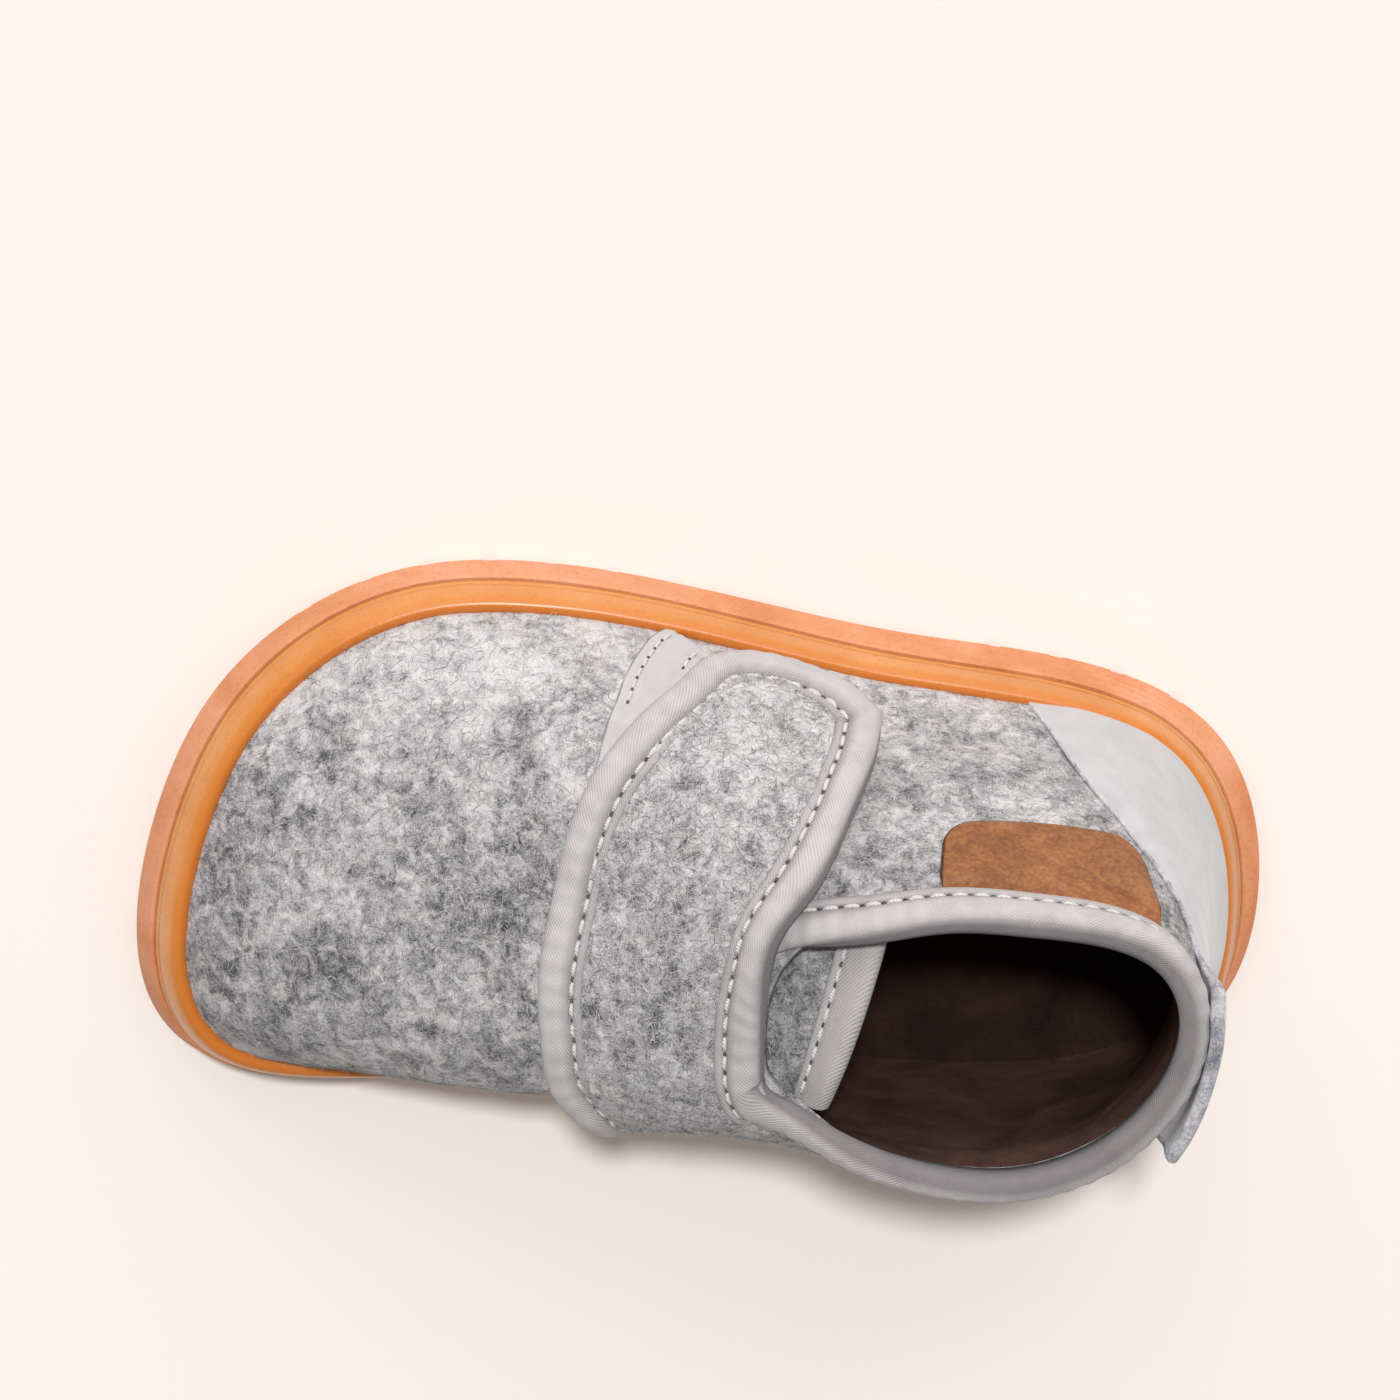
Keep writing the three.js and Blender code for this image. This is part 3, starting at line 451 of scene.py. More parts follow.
def outward(piece):
    """Turns the faces of a closed mesh outward."""
    mesh = piece.data
    mesh.calc_loop_triangles()
    corners = np.empty(len(mesh.loop_triangles) * 3, np.int32)
    mesh.loop_triangles.foreach_get("vertices", corners)
    place = np.empty(len(mesh.vertices) * 3)
    mesh.vertices.foreach_get("co", place)
    a, b, c = place.reshape(-1, 3)[corners.reshape(-1, 3)].transpose(1, 0, 2)
    if (a * np.cross(b, c)).sum() < 0:
        mesh.flip_normals()


def hoop(name, rings, **looks):
    """A solid whose rings close on themselves and on each other."""
    rows, columns = rings.shape[:2]
    return make_piece(name, rings, grid_faces(rows, columns, True, True), **looks)


def tube(name, rings, closed=(True, True), **looks):
    """A solid swept along a path, its two ends closed unless the next piece goes on from there."""
    rows, columns = rings.shape[:2]
    faces = list(grid_faces(rows, columns, False, True))
    ends = (np.arange(columns)[::-1], np.arange(columns) + (rows - 1) * columns)
    faces += [end for end, shut in zip(ends, closed) if shut]
    return make_piece(name, rings, faces, **looks)


def slab(name, top, bottom, edge=3, cut_edge=None, **looks):
    """A sheet with a rounded edge, of its own material where one is given, between two grids of points."""
    rows, columns = top.shape[:2]
    count = rows * columns
    faces = [grid_faces(rows, columns, False, False)]
    faces.append(faces[0][:, ::-1] + count)
    index = np.arange(count).reshape(rows, columns)
    border = np.concatenate([index[0, :-1], index[:-1, -1], index[-1, :0:-1], index[:0:-1, 0]])
    upper, lower = top.reshape(-1, 3), bottom.reshape(-1, 3)
    middle = (upper[border] + lower[border]) / 2
    half = (upper[border] - lower[border]) / 2
    along = unit(np.roll(middle, -1, axis=0) - np.roll(middle, 1, axis=0))
    out = unit(np.cross(along, half))
    centre = middle.mean(axis=0)
    if ((middle - centre) * out).sum() < 0:
        out = -out
    thick = np.linalg.norm(half, axis=-1, keepdims=True)
    loops = [border]
    extra = []
    for k in range(1, edge + 1):
        angle = math.pi * k / (edge + 1)
        extra.append(middle + half * math.cos(angle) + out * thick * math.sin(angle) * 0.8)
        loops.append(2 * count + (k - 1) * len(border) + np.arange(len(border)))
    loops.append(border + count)
    for a, b in zip(loops, loops[1:]):
        faces.append(np.stack([a, b, np.roll(b, -1), np.roll(a, -1)], -1))
    points = np.vstack([upper, lower, *extra])
    if cut_edge:
        looks["materials"] = [*looks["materials"], cut_edge]
        looks["face_slots"] = np.repeat([0, 1], [2 * len(faces[0]), sum(len(f) for f in faces[2:])])
    return make_piece(name, points, np.vstack(faces), **looks)


def run_of(line):
    """The distance gone at each point of a line."""
    return np.concatenate([[0], np.cumsum(np.linalg.norm(np.diff(line, axis=0), axis=-1))])


# Materials

def add(tree, kind, sockets=None, **settings):
    """Adds a node, sets it, and fills its inputs with values or with other nodes' outputs."""
    node = tree.nodes.new(kind)
    for name, value in settings.items():
        setattr(node, name, value)
    for key, value in (sockets or {}).items():
        if isinstance(value, bpy.types.NodeSocket):
            tree.links.new(value, node.inputs[key])
        else:
            node.inputs[key].default_value = value
    return node


def ramp(tree, factor, *stops):
    """A colour ramp: each stop is a position and a colour, in hex or from the properties."""
    node = add(tree, "ShaderNodeValToRGB", {"Fac": factor})
    elements = node.color_ramp.elements
    while len(elements) < len(stops):
        elements.new(0.5)
    for element, (position, shade) in zip(elements, stops):
        element.position = position
        element.color = srgb(shade) if isinstance(shade, str) else shade
    return node.outputs["Color"]


def noise(tree, where, size, detail=3.0, roughness=0.55, distortion=0.0):
    """Noise whose main lumps have one real size."""
    node = add(tree, "ShaderNodeTexNoise", {
        "Vector": where, "Scale": 1 / size, "Detail": detail, "Roughness": roughness,
        "Distortion": distortion})
    return node.outputs["Fac"]


def mixed(tree, factor, a, b, blend="MIX"):
    """Two colours mixed by a factor."""
    node = add(tree, "ShaderNodeMix", data_type="RGBA", blend_type=blend)
    for key, value in ((0, factor), (6, a), (7, b)):
        if isinstance(value, bpy.types.NodeSocket):
            tree.links.new(value, node.inputs[key])
        else:
            node.inputs[key].default_value = srgb(value) if isinstance(value, str) else value
    return node.outputs[2]


def maths(tree, operation, *values):
    """One step of arithmetic."""
    return add(tree, "ShaderNodeMath", dict(enumerate(values)), operation=operation).outputs[0]


def begin(name):
    """An empty material with its tree, its shader and the place on the slipper in metres."""
    material = bpy.data.materials.new(name)
    material.use_nodes = True
    tree = material.node_tree
    shader = tree.nodes["Principled BSDF"]
    where = add(tree, "ShaderNodeTexCoord").outputs["Object"]
    return material, tree, shader, where


def bumped(tree, shader, *layers):
    """Stacks bumps on the shader: each layer is a height socket and its depth in metres."""
    normal = None
    for height, depth in layers:
        sockets = {"Height": height, "Distance": depth, "Strength": 1.0}
        if normal is not None:
            sockets["Normal"] = normal
        normal = add(tree, "ShaderNodeBump", sockets).outputs["Normal"]
    tree.links.new(normal, shader.inputs["Normal"])


def dress(shader, **values):
    """Sets constants on the shader's own inputs."""
    for name, value in values.items():
        shader.inputs[name.replace("_", " ")].default_value = value


def felted_wool(name, dark, middle, pale, fleck):
    """Felted wool: curled strands a quarter of a millimetre wide, laid in all directions, in clots, with
    painted light that makes it paler towards the outer side.
    """
    material, tree, shader, where = begin(name)
    warp = add(tree, "ShaderNodeTexNoise", {"Vector": where, "Scale": 1 / (1.3 * MM), "Detail": 3.0})
    curl = add(tree, "ShaderNodeVectorMath", {0: warp.outputs["Color"], 1: (0.5, 0.5, 0.5)},
               operation="SUBTRACT")
    laid = add(tree, "ShaderNodeVectorMath", {0: curl.outputs[0], 1: (1.5 * MM,) * 3, 2: where},
               operation="MULTIPLY_ADD").outputs[0]
    strands = None
    for turn in ((0, 0.3, 0.5), (0.2, -0.2, 1.6), (-0.3, 0.2, 2.6)):
        way = add(tree, "ShaderNodeMapping", {"Vector": laid, "Rotation": turn, "Scale": (4.0, 1, 1)},
                  vector_type="TEXTURE").outputs["Vector"]
        hairs = noise(tree, way, 0.24 * MM, 2.0, 0.6)
        strands = hairs if strands is None else maths(tree, "MAXIMUM", strands, hairs)
    clouds = noise(tree, where, 9 * MM, 2.0, 0.5, 0.4)
    clots = noise(tree, where, 2.3 * MM, 4.0, 0.62, 0.8)
    tone = maths(tree, "MULTIPLY_ADD", strands, 0.8, maths(tree, "MULTIPLY", clots, 0.75))
    tone = maths(tree, "MULTIPLY_ADD", clouds, 0.45, tone)
    # Painted light: the felt's tone rises towards the outer side, where the light comes from.
    across = add(tree, "ShaderNodeSeparateXYZ", {"Vector": where}).outputs["Y"]
    outer = add(tree, "ShaderNodeMapRange", {
        "Value": across, "From Min": -12 * MM, "From Max": -34 * MM, "To Max": 0.11}).outputs[0]
    tone = maths(tree, "ADD", tone, outer)
    tone = add(tree, "ShaderNodeMapRange", {"Value": tone, "From Min": 0.8, "From Max": 1.3}).outputs[0]
    base = ramp(tree, tone, (0.12, dark), (0.38, middle), (0.64, pale), (0.9, fleck))
    tint = ramp(tree, noise(tree, where, 3.5 * MM, 3, 0.6, 0.8), (0.36, "f6f6fa"), (0.5, "ffffff"),
                (0.66, "fbf8f5"))
    tree.links.new(mixed(tree, 1.0, base, tint, "MULTIPLY"), shader.inputs["Base Color"])
    dress(shader, Roughness=0.95, Sheen_Weight=0.2, Sheen_Roughness=0.6, Specular_IOR_Level=0.15)
    bumped(tree, shader, (clots, 0.35 * MM), (strands, 0.3 * MM))
    return material


def cotton_twill(name, pale, dark, rib, angle=0.9, rolled=False):
    """Cotton tape: fine diagonal ribs, whose distance is given; a rolled tape gets painted shade at the
    roll's foot and where it turns under.
    """
    material, tree, shader, where = begin(name)
    cloth = add(tree, "ShaderNodeUVMap", uv_map="cloth").outputs["UV"]
    turned = add(tree, "ShaderNodeMapping", {"Vector": cloth, "Rotation": (0, 0, angle)}).outputs["Vector"]
    ribs = add(tree, "ShaderNodeTexWave", {
        "Vector": turned, "Scale": 0.314 / rib, "Distortion": 0.8, "Detail": 1.0}).outputs["Fac"]
    crossed = add(tree, "ShaderNodeMapping", {
        "Vector": cloth, "Rotation": (0, 0, angle + 1.3)}).outputs["Vector"]
    picks = add(tree, "ShaderNodeTexWave", {
        "Vector": crossed, "Scale": 0.314 / (rib * 0.7), "Distortion": 1.0, "Detail": 1.0}).outputs["Fac"]
    weave = maths(tree, "MULTIPLY_ADD", picks, 0.35, ribs)
    dirt = noise(tree, where, 5 * MM, 3, 0.6, 0.4)
    tone = maths(tree, "MULTIPLY_ADD", weave, 0.3, maths(tree, "MULTIPLY", dirt, 0.7))
    base = ramp(tree, tone, (0.25, dark), (0.65, pale))
    if rolled:
        # Painted shade: on a rolled tape the colour darkens along the stitch groove at the roll's foot, where
        # the roll turns under at its outer edge, and a little at the cut margin.
        across = add(tree, "ShaderNodeSeparateXYZ", {"Vector": cloth}).outputs["Y"]
        painted_roll_shade = ramp(tree, maths(tree, "MULTIPLY", across, 0.1 / MM), (0.05, "d8d6d6"), (0.14, "f2f1f1"),
                     (0.2, "b4b1b2"), (0.27, "d4d1d2"), (0.42, "ffffff"), (0.6, "fdfdfd"), (0.76, "dfdddd"),
                     (0.85, "b5b2b3"))
        base = mixed(tree, 1.0, base, painted_roll_shade, "MULTIPLY")
    tree.links.new(base, shader.inputs["Base Color"])
    dress(shader, Roughness=0.85, Sheen_Weight=0.12, Sheen_Roughness=0.4, Specular_IOR_Level=0.25)
    bumped(tree, shader, (dirt, 0.12 * MM), (weave, 0.055 * MM))
    return material


def natural_rubber(name, deep, main, dusty, roughness, coat, felt_side_amber=None):
    """Natural rubber: amber with cloudy bloom, tiny moulding pits and a dull or a glossy skin."""
    material, tree, shader, where = begin(name)
    bloom = noise(tree, where, 16 * MM, 4, 0.6, 0.5)
    pits = noise(tree, where, 0.6 * MM, 3, 0.6)
    base = ramp(tree, bloom, (0.36, deep), (0.5, main), (0.66, dusty))
    specks = ramp(tree, pits, (0.3, "efe2d8"), (0.45, "ffffff"))
    base = mixed(tree, 1.0, base, specks, "MULTIPLY")
    if felt_side_amber:
        # Where a colour is given, the rubber turns to it on the rand's top towards the felt and on its inner
        # face.
        cloth = add(tree, "ShaderNodeUVMap", uv_map="cloth").outputs["UV"]
        across = add(tree, "ShaderNodeSeparateXYZ", {"Vector": cloth}).outputs["Y"]
        edge = add(tree, "ShaderNodeMapRange", {"Value": across, "From Min": 0.45, "From Max": 0.8})
        base = mixed(tree, edge.outputs[0], base, felt_side_amber)
    tree.links.new(base, shader.inputs["Base Color"])
    rough = maths(tree, "MULTIPLY_ADD", bloom, 0.2, roughness - 0.1)
    tree.links.new(rough, shader.inputs["Roughness"])
    dress(shader, IOR=1.52, Coat_Weight=coat, Coat_Roughness=0.25, Specular_IOR_Level=0.4)
    bumped(tree, shader, (bloom, 0.12 * MM), (pits, 0.04 * MM))
    return material


def nubuck(name, pale, dark):
    """Smooth pale nubuck: a short even nap with faint handling marks."""
    material, tree, shader, where = begin(name)
    marks = noise(tree, where, 7 * MM, 4, 0.6, 0.8)
    nap = noise(tree, where, 0.28 * MM, 3, 0.7)
    tone = maths(tree, "MULTIPLY_ADD", nap, 0.35, maths(tree, "MULTIPLY", marks, 0.65))
    tree.links.new(ramp(tree, tone, (0.3, dark), (0.62, pale)), shader.inputs["Base Color"])
    dress(shader, Roughness=0.9, Sheen_Weight=0.3, Sheen_Roughness=0.5, Specular_IOR_Level=0.25)
    bumped(tree, shader, (marks, 0.1 * MM), (nap, 0.045 * MM))
    return material


def oiled_leather(name, dark, middle, pale):
    """Oiled tan leather: pull-up patches, pebbled grain and darker pores."""
    material, tree, shader, where = begin(name)
    patches = noise(tree, where, 4.5 * MM, 4, 0.6, 1.0)
    grain = add(tree, "ShaderNodeTexVoronoi", {"Vector": where, "Scale": 1 / (0.55 * MM)},
                feature="SMOOTH_F1").outputs["Distance"]
    fine = noise(tree, where, 0.3 * MM, 3, 0.6)
    base = ramp(tree, patches, (0.34, dark), (0.5, middle), (0.66, pale))
    pores = ramp(tree, grain, (0.15, "ffffff"), (0.6, "e2cdb6"))
    tree.links.new(mixed(tree, 1.0, base, pores, "MULTIPLY"), shader.inputs["Base Color"])
    dress(shader, Roughness=0.62, IOR=1.5, Coat_Weight=0.05, Coat_Roughness=0.4)
    bumped(tree, shader, (grain, 0.08 * MM), (fine, 0.03 * MM))
    return material


def brushed_lining(name, main, deep, pale):
    """Brown brushed lining: a soft short pile, rubbed paler where the foot slides."""
    material, tree, shader, where = begin(name)
    rubbed = noise(tree, where, 11 * MM, 3, 0.6, 0.7)
    pile = noise(tree, where, 0.5 * MM, 4, 0.7, 1.5)
    tone = maths(tree, "MULTIPLY_ADD", pile, 0.4, maths(tree, "MULTIPLY", rubbed, 0.6))
    tree.links.new(ramp(tree, tone, (0.35, deep), (0.5, main), (0.68, pale)), shader.inputs["Base Color"])
    dress(shader, Roughness=0.95, Specular_IOR_Level=0.1)
    bumped(tree, shader, (rubbed, 0.3 * MM), (pile, 0.15 * MM))
    return material


def touch_pile(name):
    """The closure's looped pile: near black, with rough loops half a millimetre wide."""
    material, tree, shader, where = begin(name)
    loops = add(tree, "ShaderNodeTexVoronoi", {"Vector": where, "Scale": 1 / (0.5 * MM)}).outputs["Distance"]
    fuzz = noise(tree, where, 0.35 * MM, 3, 0.6)
    tree.links.new(ramp(tree, loops, (0.1, "4a3d38"), (0.6, "241d1b")), shader.inputs["Base Color"])
    dress(shader, Roughness=0.75, Sheen_Weight=0.2, Sheen_Roughness=0.4)
    bumped(tree, shader, (loops, 0.25 * MM), (fuzz, 0.1 * MM))
    return material


def thread(name, pale, dark):
    """Polyester sewing thread: twisted plies that catch the light."""
    material, tree, shader, where = begin(name)
    plies = add(tree, "ShaderNodeTexWave", {
        "Vector": where, "Scale": 0.314 / (0.3 * MM), "Distortion": 1.5},
        bands_direction="DIAGONAL").outputs["Fac"]
    tree.links.new(ramp(tree, plies, (0.2, dark), (0.7, pale)), shader.inputs["Base Color"])
    dress(shader, Roughness=0.5, Sheen_Weight=0.1, Specular_IOR_Level=0.5)
    bumped(tree, shader, (plies, 0.05 * MM))
    return material


def needle_hole_shade():
    """Painted shade: dark dents where the needle went in, coloured as the shade inside the holes."""
    material, tree, shader, where = begin("needle hole painted shade")
    tree.links.new(ramp(tree, noise(tree, where, 0.4 * MM), (0.3, "3c3839"), (0.7, "625d5e")),
                   shader.inputs["Base Color"])
    dress(shader, Roughness=1.0)
    return material


def wool_fibre(name, dark, pale):
    """Single wool fibres, tinted in clouds."""
    material, tree, shader, where = begin(name)
    tint = noise(tree, where, 1.2 * MM, 2, 0.6)
    tree.links.new(ramp(tree, tint, (0.35, dark), (0.65, pale)), shader.inputs["Base Color"])
    dress(shader, Roughness=0.7, Sheen_Weight=0.2, Specular_IOR_Level=0.3)
    return material


# Rubber

RING = np.linspace(0, ROUND, 384, endpoint=False)


def make_rubber():
    """The outsole with its heel ribs and lugs, and the glossy rand strip on its ledge."""
    z, look = sizes(), colours()
    matt = natural_rubber("matt natural rubber", look.sole_deep, look.sole_main, look.sole_dusty, 0.6, 0.0)
    glossy = natural_rubber("glossy natural rubber", look.rand_deep, look.rand_main, look.rand_dusty,
                            0.36, 0.3, felt_side_amber="cf7526")
    s = RING
    in_arch = (outline(s)[:, 0] + 46 * MM) / (58 * MM)
    arch = z.arch_rise * smooth(4 * np.minimum(in_arch, 1 - in_arch))
    rib = 0.5 * MM * np.maximum(0, COLUMN["rib"](s))
    wobble = 0.05 * MM * lumps(sole_side(s, 0 * s, 3 * MM), 9 * MM, 3)
    rings = [sole_side(s, 12 * MM + 0 * s, 0, arch), sole_side(s, 2.4 * MM + 0 * s, 0, arch)]
    for k in range(5):
        angle = math.pi / 2 * k / 4
        reach = 1.4 * MM
        rings.append(sole_side(s, reach * (1 - math.sin(angle)) + 0 * s, reach * (1 - math.cos(angle)),
                               arch * (1 - k / 5)))
    for height in np.linspace(1.6, 6.2, 24) * MM:
        wave = sum(np.exp(-((height - middle * MM) / (0.42 * MM)) ** 2) for middle in (2.0, 3.5, 5.0))
        rings.append(sole_side(s, rib * (1 - min(wave, 1.0)) * 1.3 + wobble, height))
    for inset, up in ((0.08, 6.55), (0.2, 6.75), (0.42, 6.9), (0.6, 6.82), (0.95, 6.82), (1.2, 7.0)):
        rings.append(sole_side(s, inset * MM + wobble, up * MM))
    rings.append(sole_side(s, 6 * MM + 0 * s, z.outsole_edge))
    rings.append(sole_side(s, 6.4 * MM + 0 * s, z.outsole_edge - 2.6 * MM))
    rings = np.array(rings)
    levels, count = rings.shape[:2]
    faces = list(grid_faces(levels, count, False, True))
    for first in (0, (levels - 1) * count):
        for i in range(count // 2 - 1):
            quad = [first + i, first + i + 1, first + count - 2 - i, first + count - 1 - i]
            faces.append(np.array(quad if first else quad[::-1]))
    sole = make_piece("rubber_outsole", rings, faces, materials=[matt], slot="natural_rubber",
                      replaced=["outsole"], sharp=40)
    cut_grooves(sole, matt)

    top = z.outsole_edge + z.seat
    wall = z.seat + z.foxing_wall
    soft = 0.12 * MM * lumps(shell(s, 0.1 + 0 * s), 12 * MM, 5)
    strip = [sole_side(s, z.foxing_step + z.foxing_wall + 0 * s, top)]
    for up in (0.4, 0.8, 1.0):
        strip.append(shell_at(s, climb(s, z.foxing_height * up), z.seat - 0.9 * MM * up + 0 * s))
    profile = ((1.04, 0.18), (1.05, 0.42), (1.02, 0.68), (0.95, 0.88), (0.86, 0.98), (0.7, 1.03), (0.5, 1.04),
               (0.3, 1.0), (0.2, 0.98), (0.15, 0.88), (0.1, 0.97))
    for up, out in profile:
        lip = soft if up > 0.6 else soft * 0.5
        strip.append(shell_at(s, climb(s, z.foxing_height * up), wall * out + lip))
    strip.append(sole_side(s, z.foxing_step + 0 * s, top))
    strip = np.array(strip).transpose(1, 0, 2)
    rows, columns = strip.shape[:2]
    reach = np.interp(np.arange(columns), (0, 3, 4, 8, columns - 4, columns - 1), (1, 1, 0.95, 0.6, 0.1, 0))
    uv = np.stack(np.broadcast_arrays(s[:, None] / ROUND, reach[None, :]), -1)
    hoop("rubber_rand", strip, materials=[glossy], slot="glossy_rubber", replaced=["foxing"], uv=uv)


def cut_grooves(sole, material):
    """Cuts the straight grooves that part the underside into lugs."""
    z = sizes()
    points, faces = [], []
    for first, count in GROOVES:
        for k in range(count):
            x = first * z.shoe_length + k * GROOVE_PITCH
            slope = float(lift_slope(np.array(x)))
            low = float(lift(np.array(x)))
            base = len(points)
            for dx, dz in ((-1, -1), (-0.8, 1), (0.8, 1), (1, -1)):
                a, b = dx * GROOVE_WIDTH / 2, dz * GROOVE_DEPTH
                for y in (-z.ball_width, z.ball_width):
                    points.append((x + a - b * slope, y, low + b + a * slope))
            for j in range(4):
                a, b = base + 2 * j, base + 2 * ((j + 1) % 4)
                faces.append([a, a + 1, b + 1, b])
            faces += [[base, base + 2, base + 4, base + 6], [base + 7, base + 5, base + 3, base + 1]]
    mesh = bpy.data.meshes.new("groove_cutter")
    mesh.from_pydata(points, [], faces)
    mesh.materials.append(material)
    cutter = bpy.data.objects.new("groove_cutter", mesh)
    bpy.context.scene.collection.objects.link(cutter)
    outward(cutter)
    cut = sole.modifiers.new("grooves", "BOOLEAN")
    cut.operation = "DIFFERENCE"
    cut.solver = "EXACT"
    cut.object = cutter
    bpy.context.view_layer.objects.active = sole
    bpy.ops.object.modifier_apply(modifier=cut.name)
    bpy.data.objects.remove(cutter)
    bpy.data.meshes.remove(mesh)
    sole.data.set_sharp_from_angle(angle=math.radians(40))


def make_insole():
    """The brown footbed, dished a little where heel and ball rest."""
    z = sizes()
    brown = brushed_lining("brown felt footbed", "2f201d", "211614", "3d2b26")
    s = np.linspace(0, ROUND, 192, endpoint=False)
    inset = z.foxing_step + z.foxing_wall + z.seat + z.felt_wall - 0.2 * MM
    edge = sole_side(s, inset + 0 * s, z.insole_top)
    rings = [sole_side(s, inset + 0 * s, z.insole_top - 2.9 * MM)]
    half = len(s) // 2
    for share in np.linspace(0, 1, 24):
        opposite = edge[(len(s) - 1 - np.arange(len(s))) % len(s)]
        ring = edge + (opposite - edge) * share * 0.5
        heel = np.exp(-((ring[:, 0] + 0.05) / 0.02) ** 2)
        ball = np.exp(-((ring[:, 0] - 0.03) / 0.025) ** 2)
        ring[:, 2] += 0.45 * MM * (1 - smooth(share * 4)) - 0.25 * MM * smooth(share * 2) * (heel + ball)
        ring[:, 2] += 0.06 * MM * lumps(ring, 5 * MM, 11)
        rings.append(ring)
    rings = np.array(rings)
    levels, count = rings.shape[:2]
    faces = list(grid_faces(levels, count, False, True))
    for i in range(half - 1):
        faces.append(np.array([i, count - 1 - i, count - 2 - i, i + 1]))
    last = (levels - 1) * count
    for i in range(half - 1):
        faces.append(np.array([last + i, last + i + 1, last + count - 2 - i, last + count - 1 - i]))
    make_piece("insole_footbed", rings, faces, materials=[brown], slot="brown_felt", replaced=["insole"],
               sharp=60)


# Felt

def creased(s, t):
    """The depth of the soft troughs at a place of the felt."""
    total = np.zeros(np.broadcast(s, t).shape)
    for row, share, long, high, deep in CREASES:
        away = (np.asarray(s) - row + ROUND / 2) % ROUND - ROUND / 2
        total += deep * np.exp(-(away / long) ** 2 - ((t - share) / high) ** 2)
    return total


def felt_relief(points, seed):
    """The lumpy surface of felted wool."""
    return (0.16 * lumps(points, 6.5 * MM, seed) + 0.12 * lumps(points, 2.4 * MM, seed + 1)
            + 0.08 * lumps(points, 1.1 * MM, seed + 2)) * MM


def felt_skin(s, t):
    """The upper's finished outer face."""
    bare = shell(s, t)
    normal = ways(s, t)[2]
    foot = np.exp(-(np.asarray(t) / 0.05) ** 2)
    height = felt_relief(bare, 21) * (1 - 0.6 * foot) - creased(s, t)
    return bare + normal * height[..., None]


def make_upper():
    """The lasted felt upper with its brown lining."""
    z, look = sizes(), colours()
    felt = felted_wool("melange wool felt", look.felt_dark, look.felt_middle, look.felt_pale, look.felt_fleck)
    lining = brushed_lining("brown brushed lining", look.lining_main, look.lining_deep, look.lining_pale)
    s = np.linspace(0, ROUND, 400, endpoint=False)
    t = np.linspace(0, 1, 96)
    skin = felt_skin(s[:, None], t[None, :])
    down = np.linspace(1, 0, 40)
    inner = shell(s[:, None], down[None, :]) - ways(s[:, None], down[None, :])[2] * z.felt_wall
    pressed = (z.felt_wall - z.bound_edge) * smooth((down[None, :] - 0.8) / 0.2)
    seam = 0.35 * MM * np.exp(-((down[None, :] - 0.78) / 0.012) ** 2) + pressed
    inner += ways(s[:, None], down[None, :])[2] * (seam + 0.1 * MM * lumps(inner, 8 * MM, 31))[..., None]
    inner[:, -1] = sole_side(s, z.foxing_step + z.foxing_wall + z.seat + z.felt_wall + 0 * s,
                             z.outsole_edge + z.seat)
    rings = np.concatenate([skin, inner], axis=1)
    rows, columns = rings.shape[:2]
    slots = np.tile(np.arange(columns) >= len(t) + 3, rows).astype(int)
    hoop("felt_upper", rings, materials=[felt, lining], slot="grey_felt", replaced=["upper"],
         face_slots=slots)


def flap_place(u, v):
    """A place on the flap: u from root to free end, v from front to rear edge."""
    front, rear = open_curve(FLAP_FRONT)(u), open_curve(FLAP_REAR)(u)
    root, end = open_curve(FLAP_ROOT)(v), open_curve(FLAP_END)(v)
    u, v = np.asarray(u)[..., None], np.asarray(v)[..., None]
    ends = [np.array(table[k]) for k in (0, -1) for table in (FLAP_FRONT, FLAP_REAR)]
    place = front + (rear - front) * v
    place = place + (1 - u) ** 3 * (root - ends[0] - (ends[1] - ends[0]) * v)
    place = place + u ** 4 * (end - ends[2] - (ends[3] - ends[2]) * v)
    return place[..., 0], place[..., 1]


def flap_faces(s, t):
    """The heights of the flap's two faces over the upper: it lies down where it joins the collar."""
    z = sizes()
    rows = np.array(FLAP_RISE)
    joined = smooth((-1.6 - np.asarray(s)) / 2.2) * smooth((np.asarray(t) - 0.6) / 0.4)
    front = smooth((0.86 - np.asarray(t)) / 0.12) * smooth((2.7 - np.asarray(s)) / 1.2)
    low = z.seat + z.flap_lift * np.interp(s, rows[:, 0], rows[:, 1]) * (1 - joined) * (1 - 0.6 * front)
    return low, low + z.flap_felt * (0.35 + 0.65 * smooth((np.asarray(s) + 3.9) / 0.9)) * (1 - 0.4 * joined)


def flap_skin(u, v):
    """The flap's finished upper face, a little plump between its bound edges."""
    s, t = flap_place(u, v)
    bare = shell_at(s, t, flap_faces(s, t)[1])
    plump = 0.5 * MM * np.sin(np.pi * np.clip(v, 0, 1)) ** 0.7
    return bare + ways(s, t)[2] * (plump + felt_relief(bare, 41))[..., None]


def make_flap():
    """The wide instep flap."""
    look = colours()
    felt = felted_wool("melange wool felt of the flap", look.flap_dark, look.flap_middle, look.flap_pale,
                       look.flap_fleck)
    u = np.linspace(0, 1, 240)[:, None]
    v = np.linspace(0, 1, 96)[None, :]
    u, v = np.broadcast_arrays(u, v)
    s, t = flap_place(u, v)
    under = shell_at(s, t, flap_faces(s, t)[0])
    slab("felt_flap", flap_skin(u, v), under, materials=[felt], slot="flap_felt", replaced=["instep_flap"])


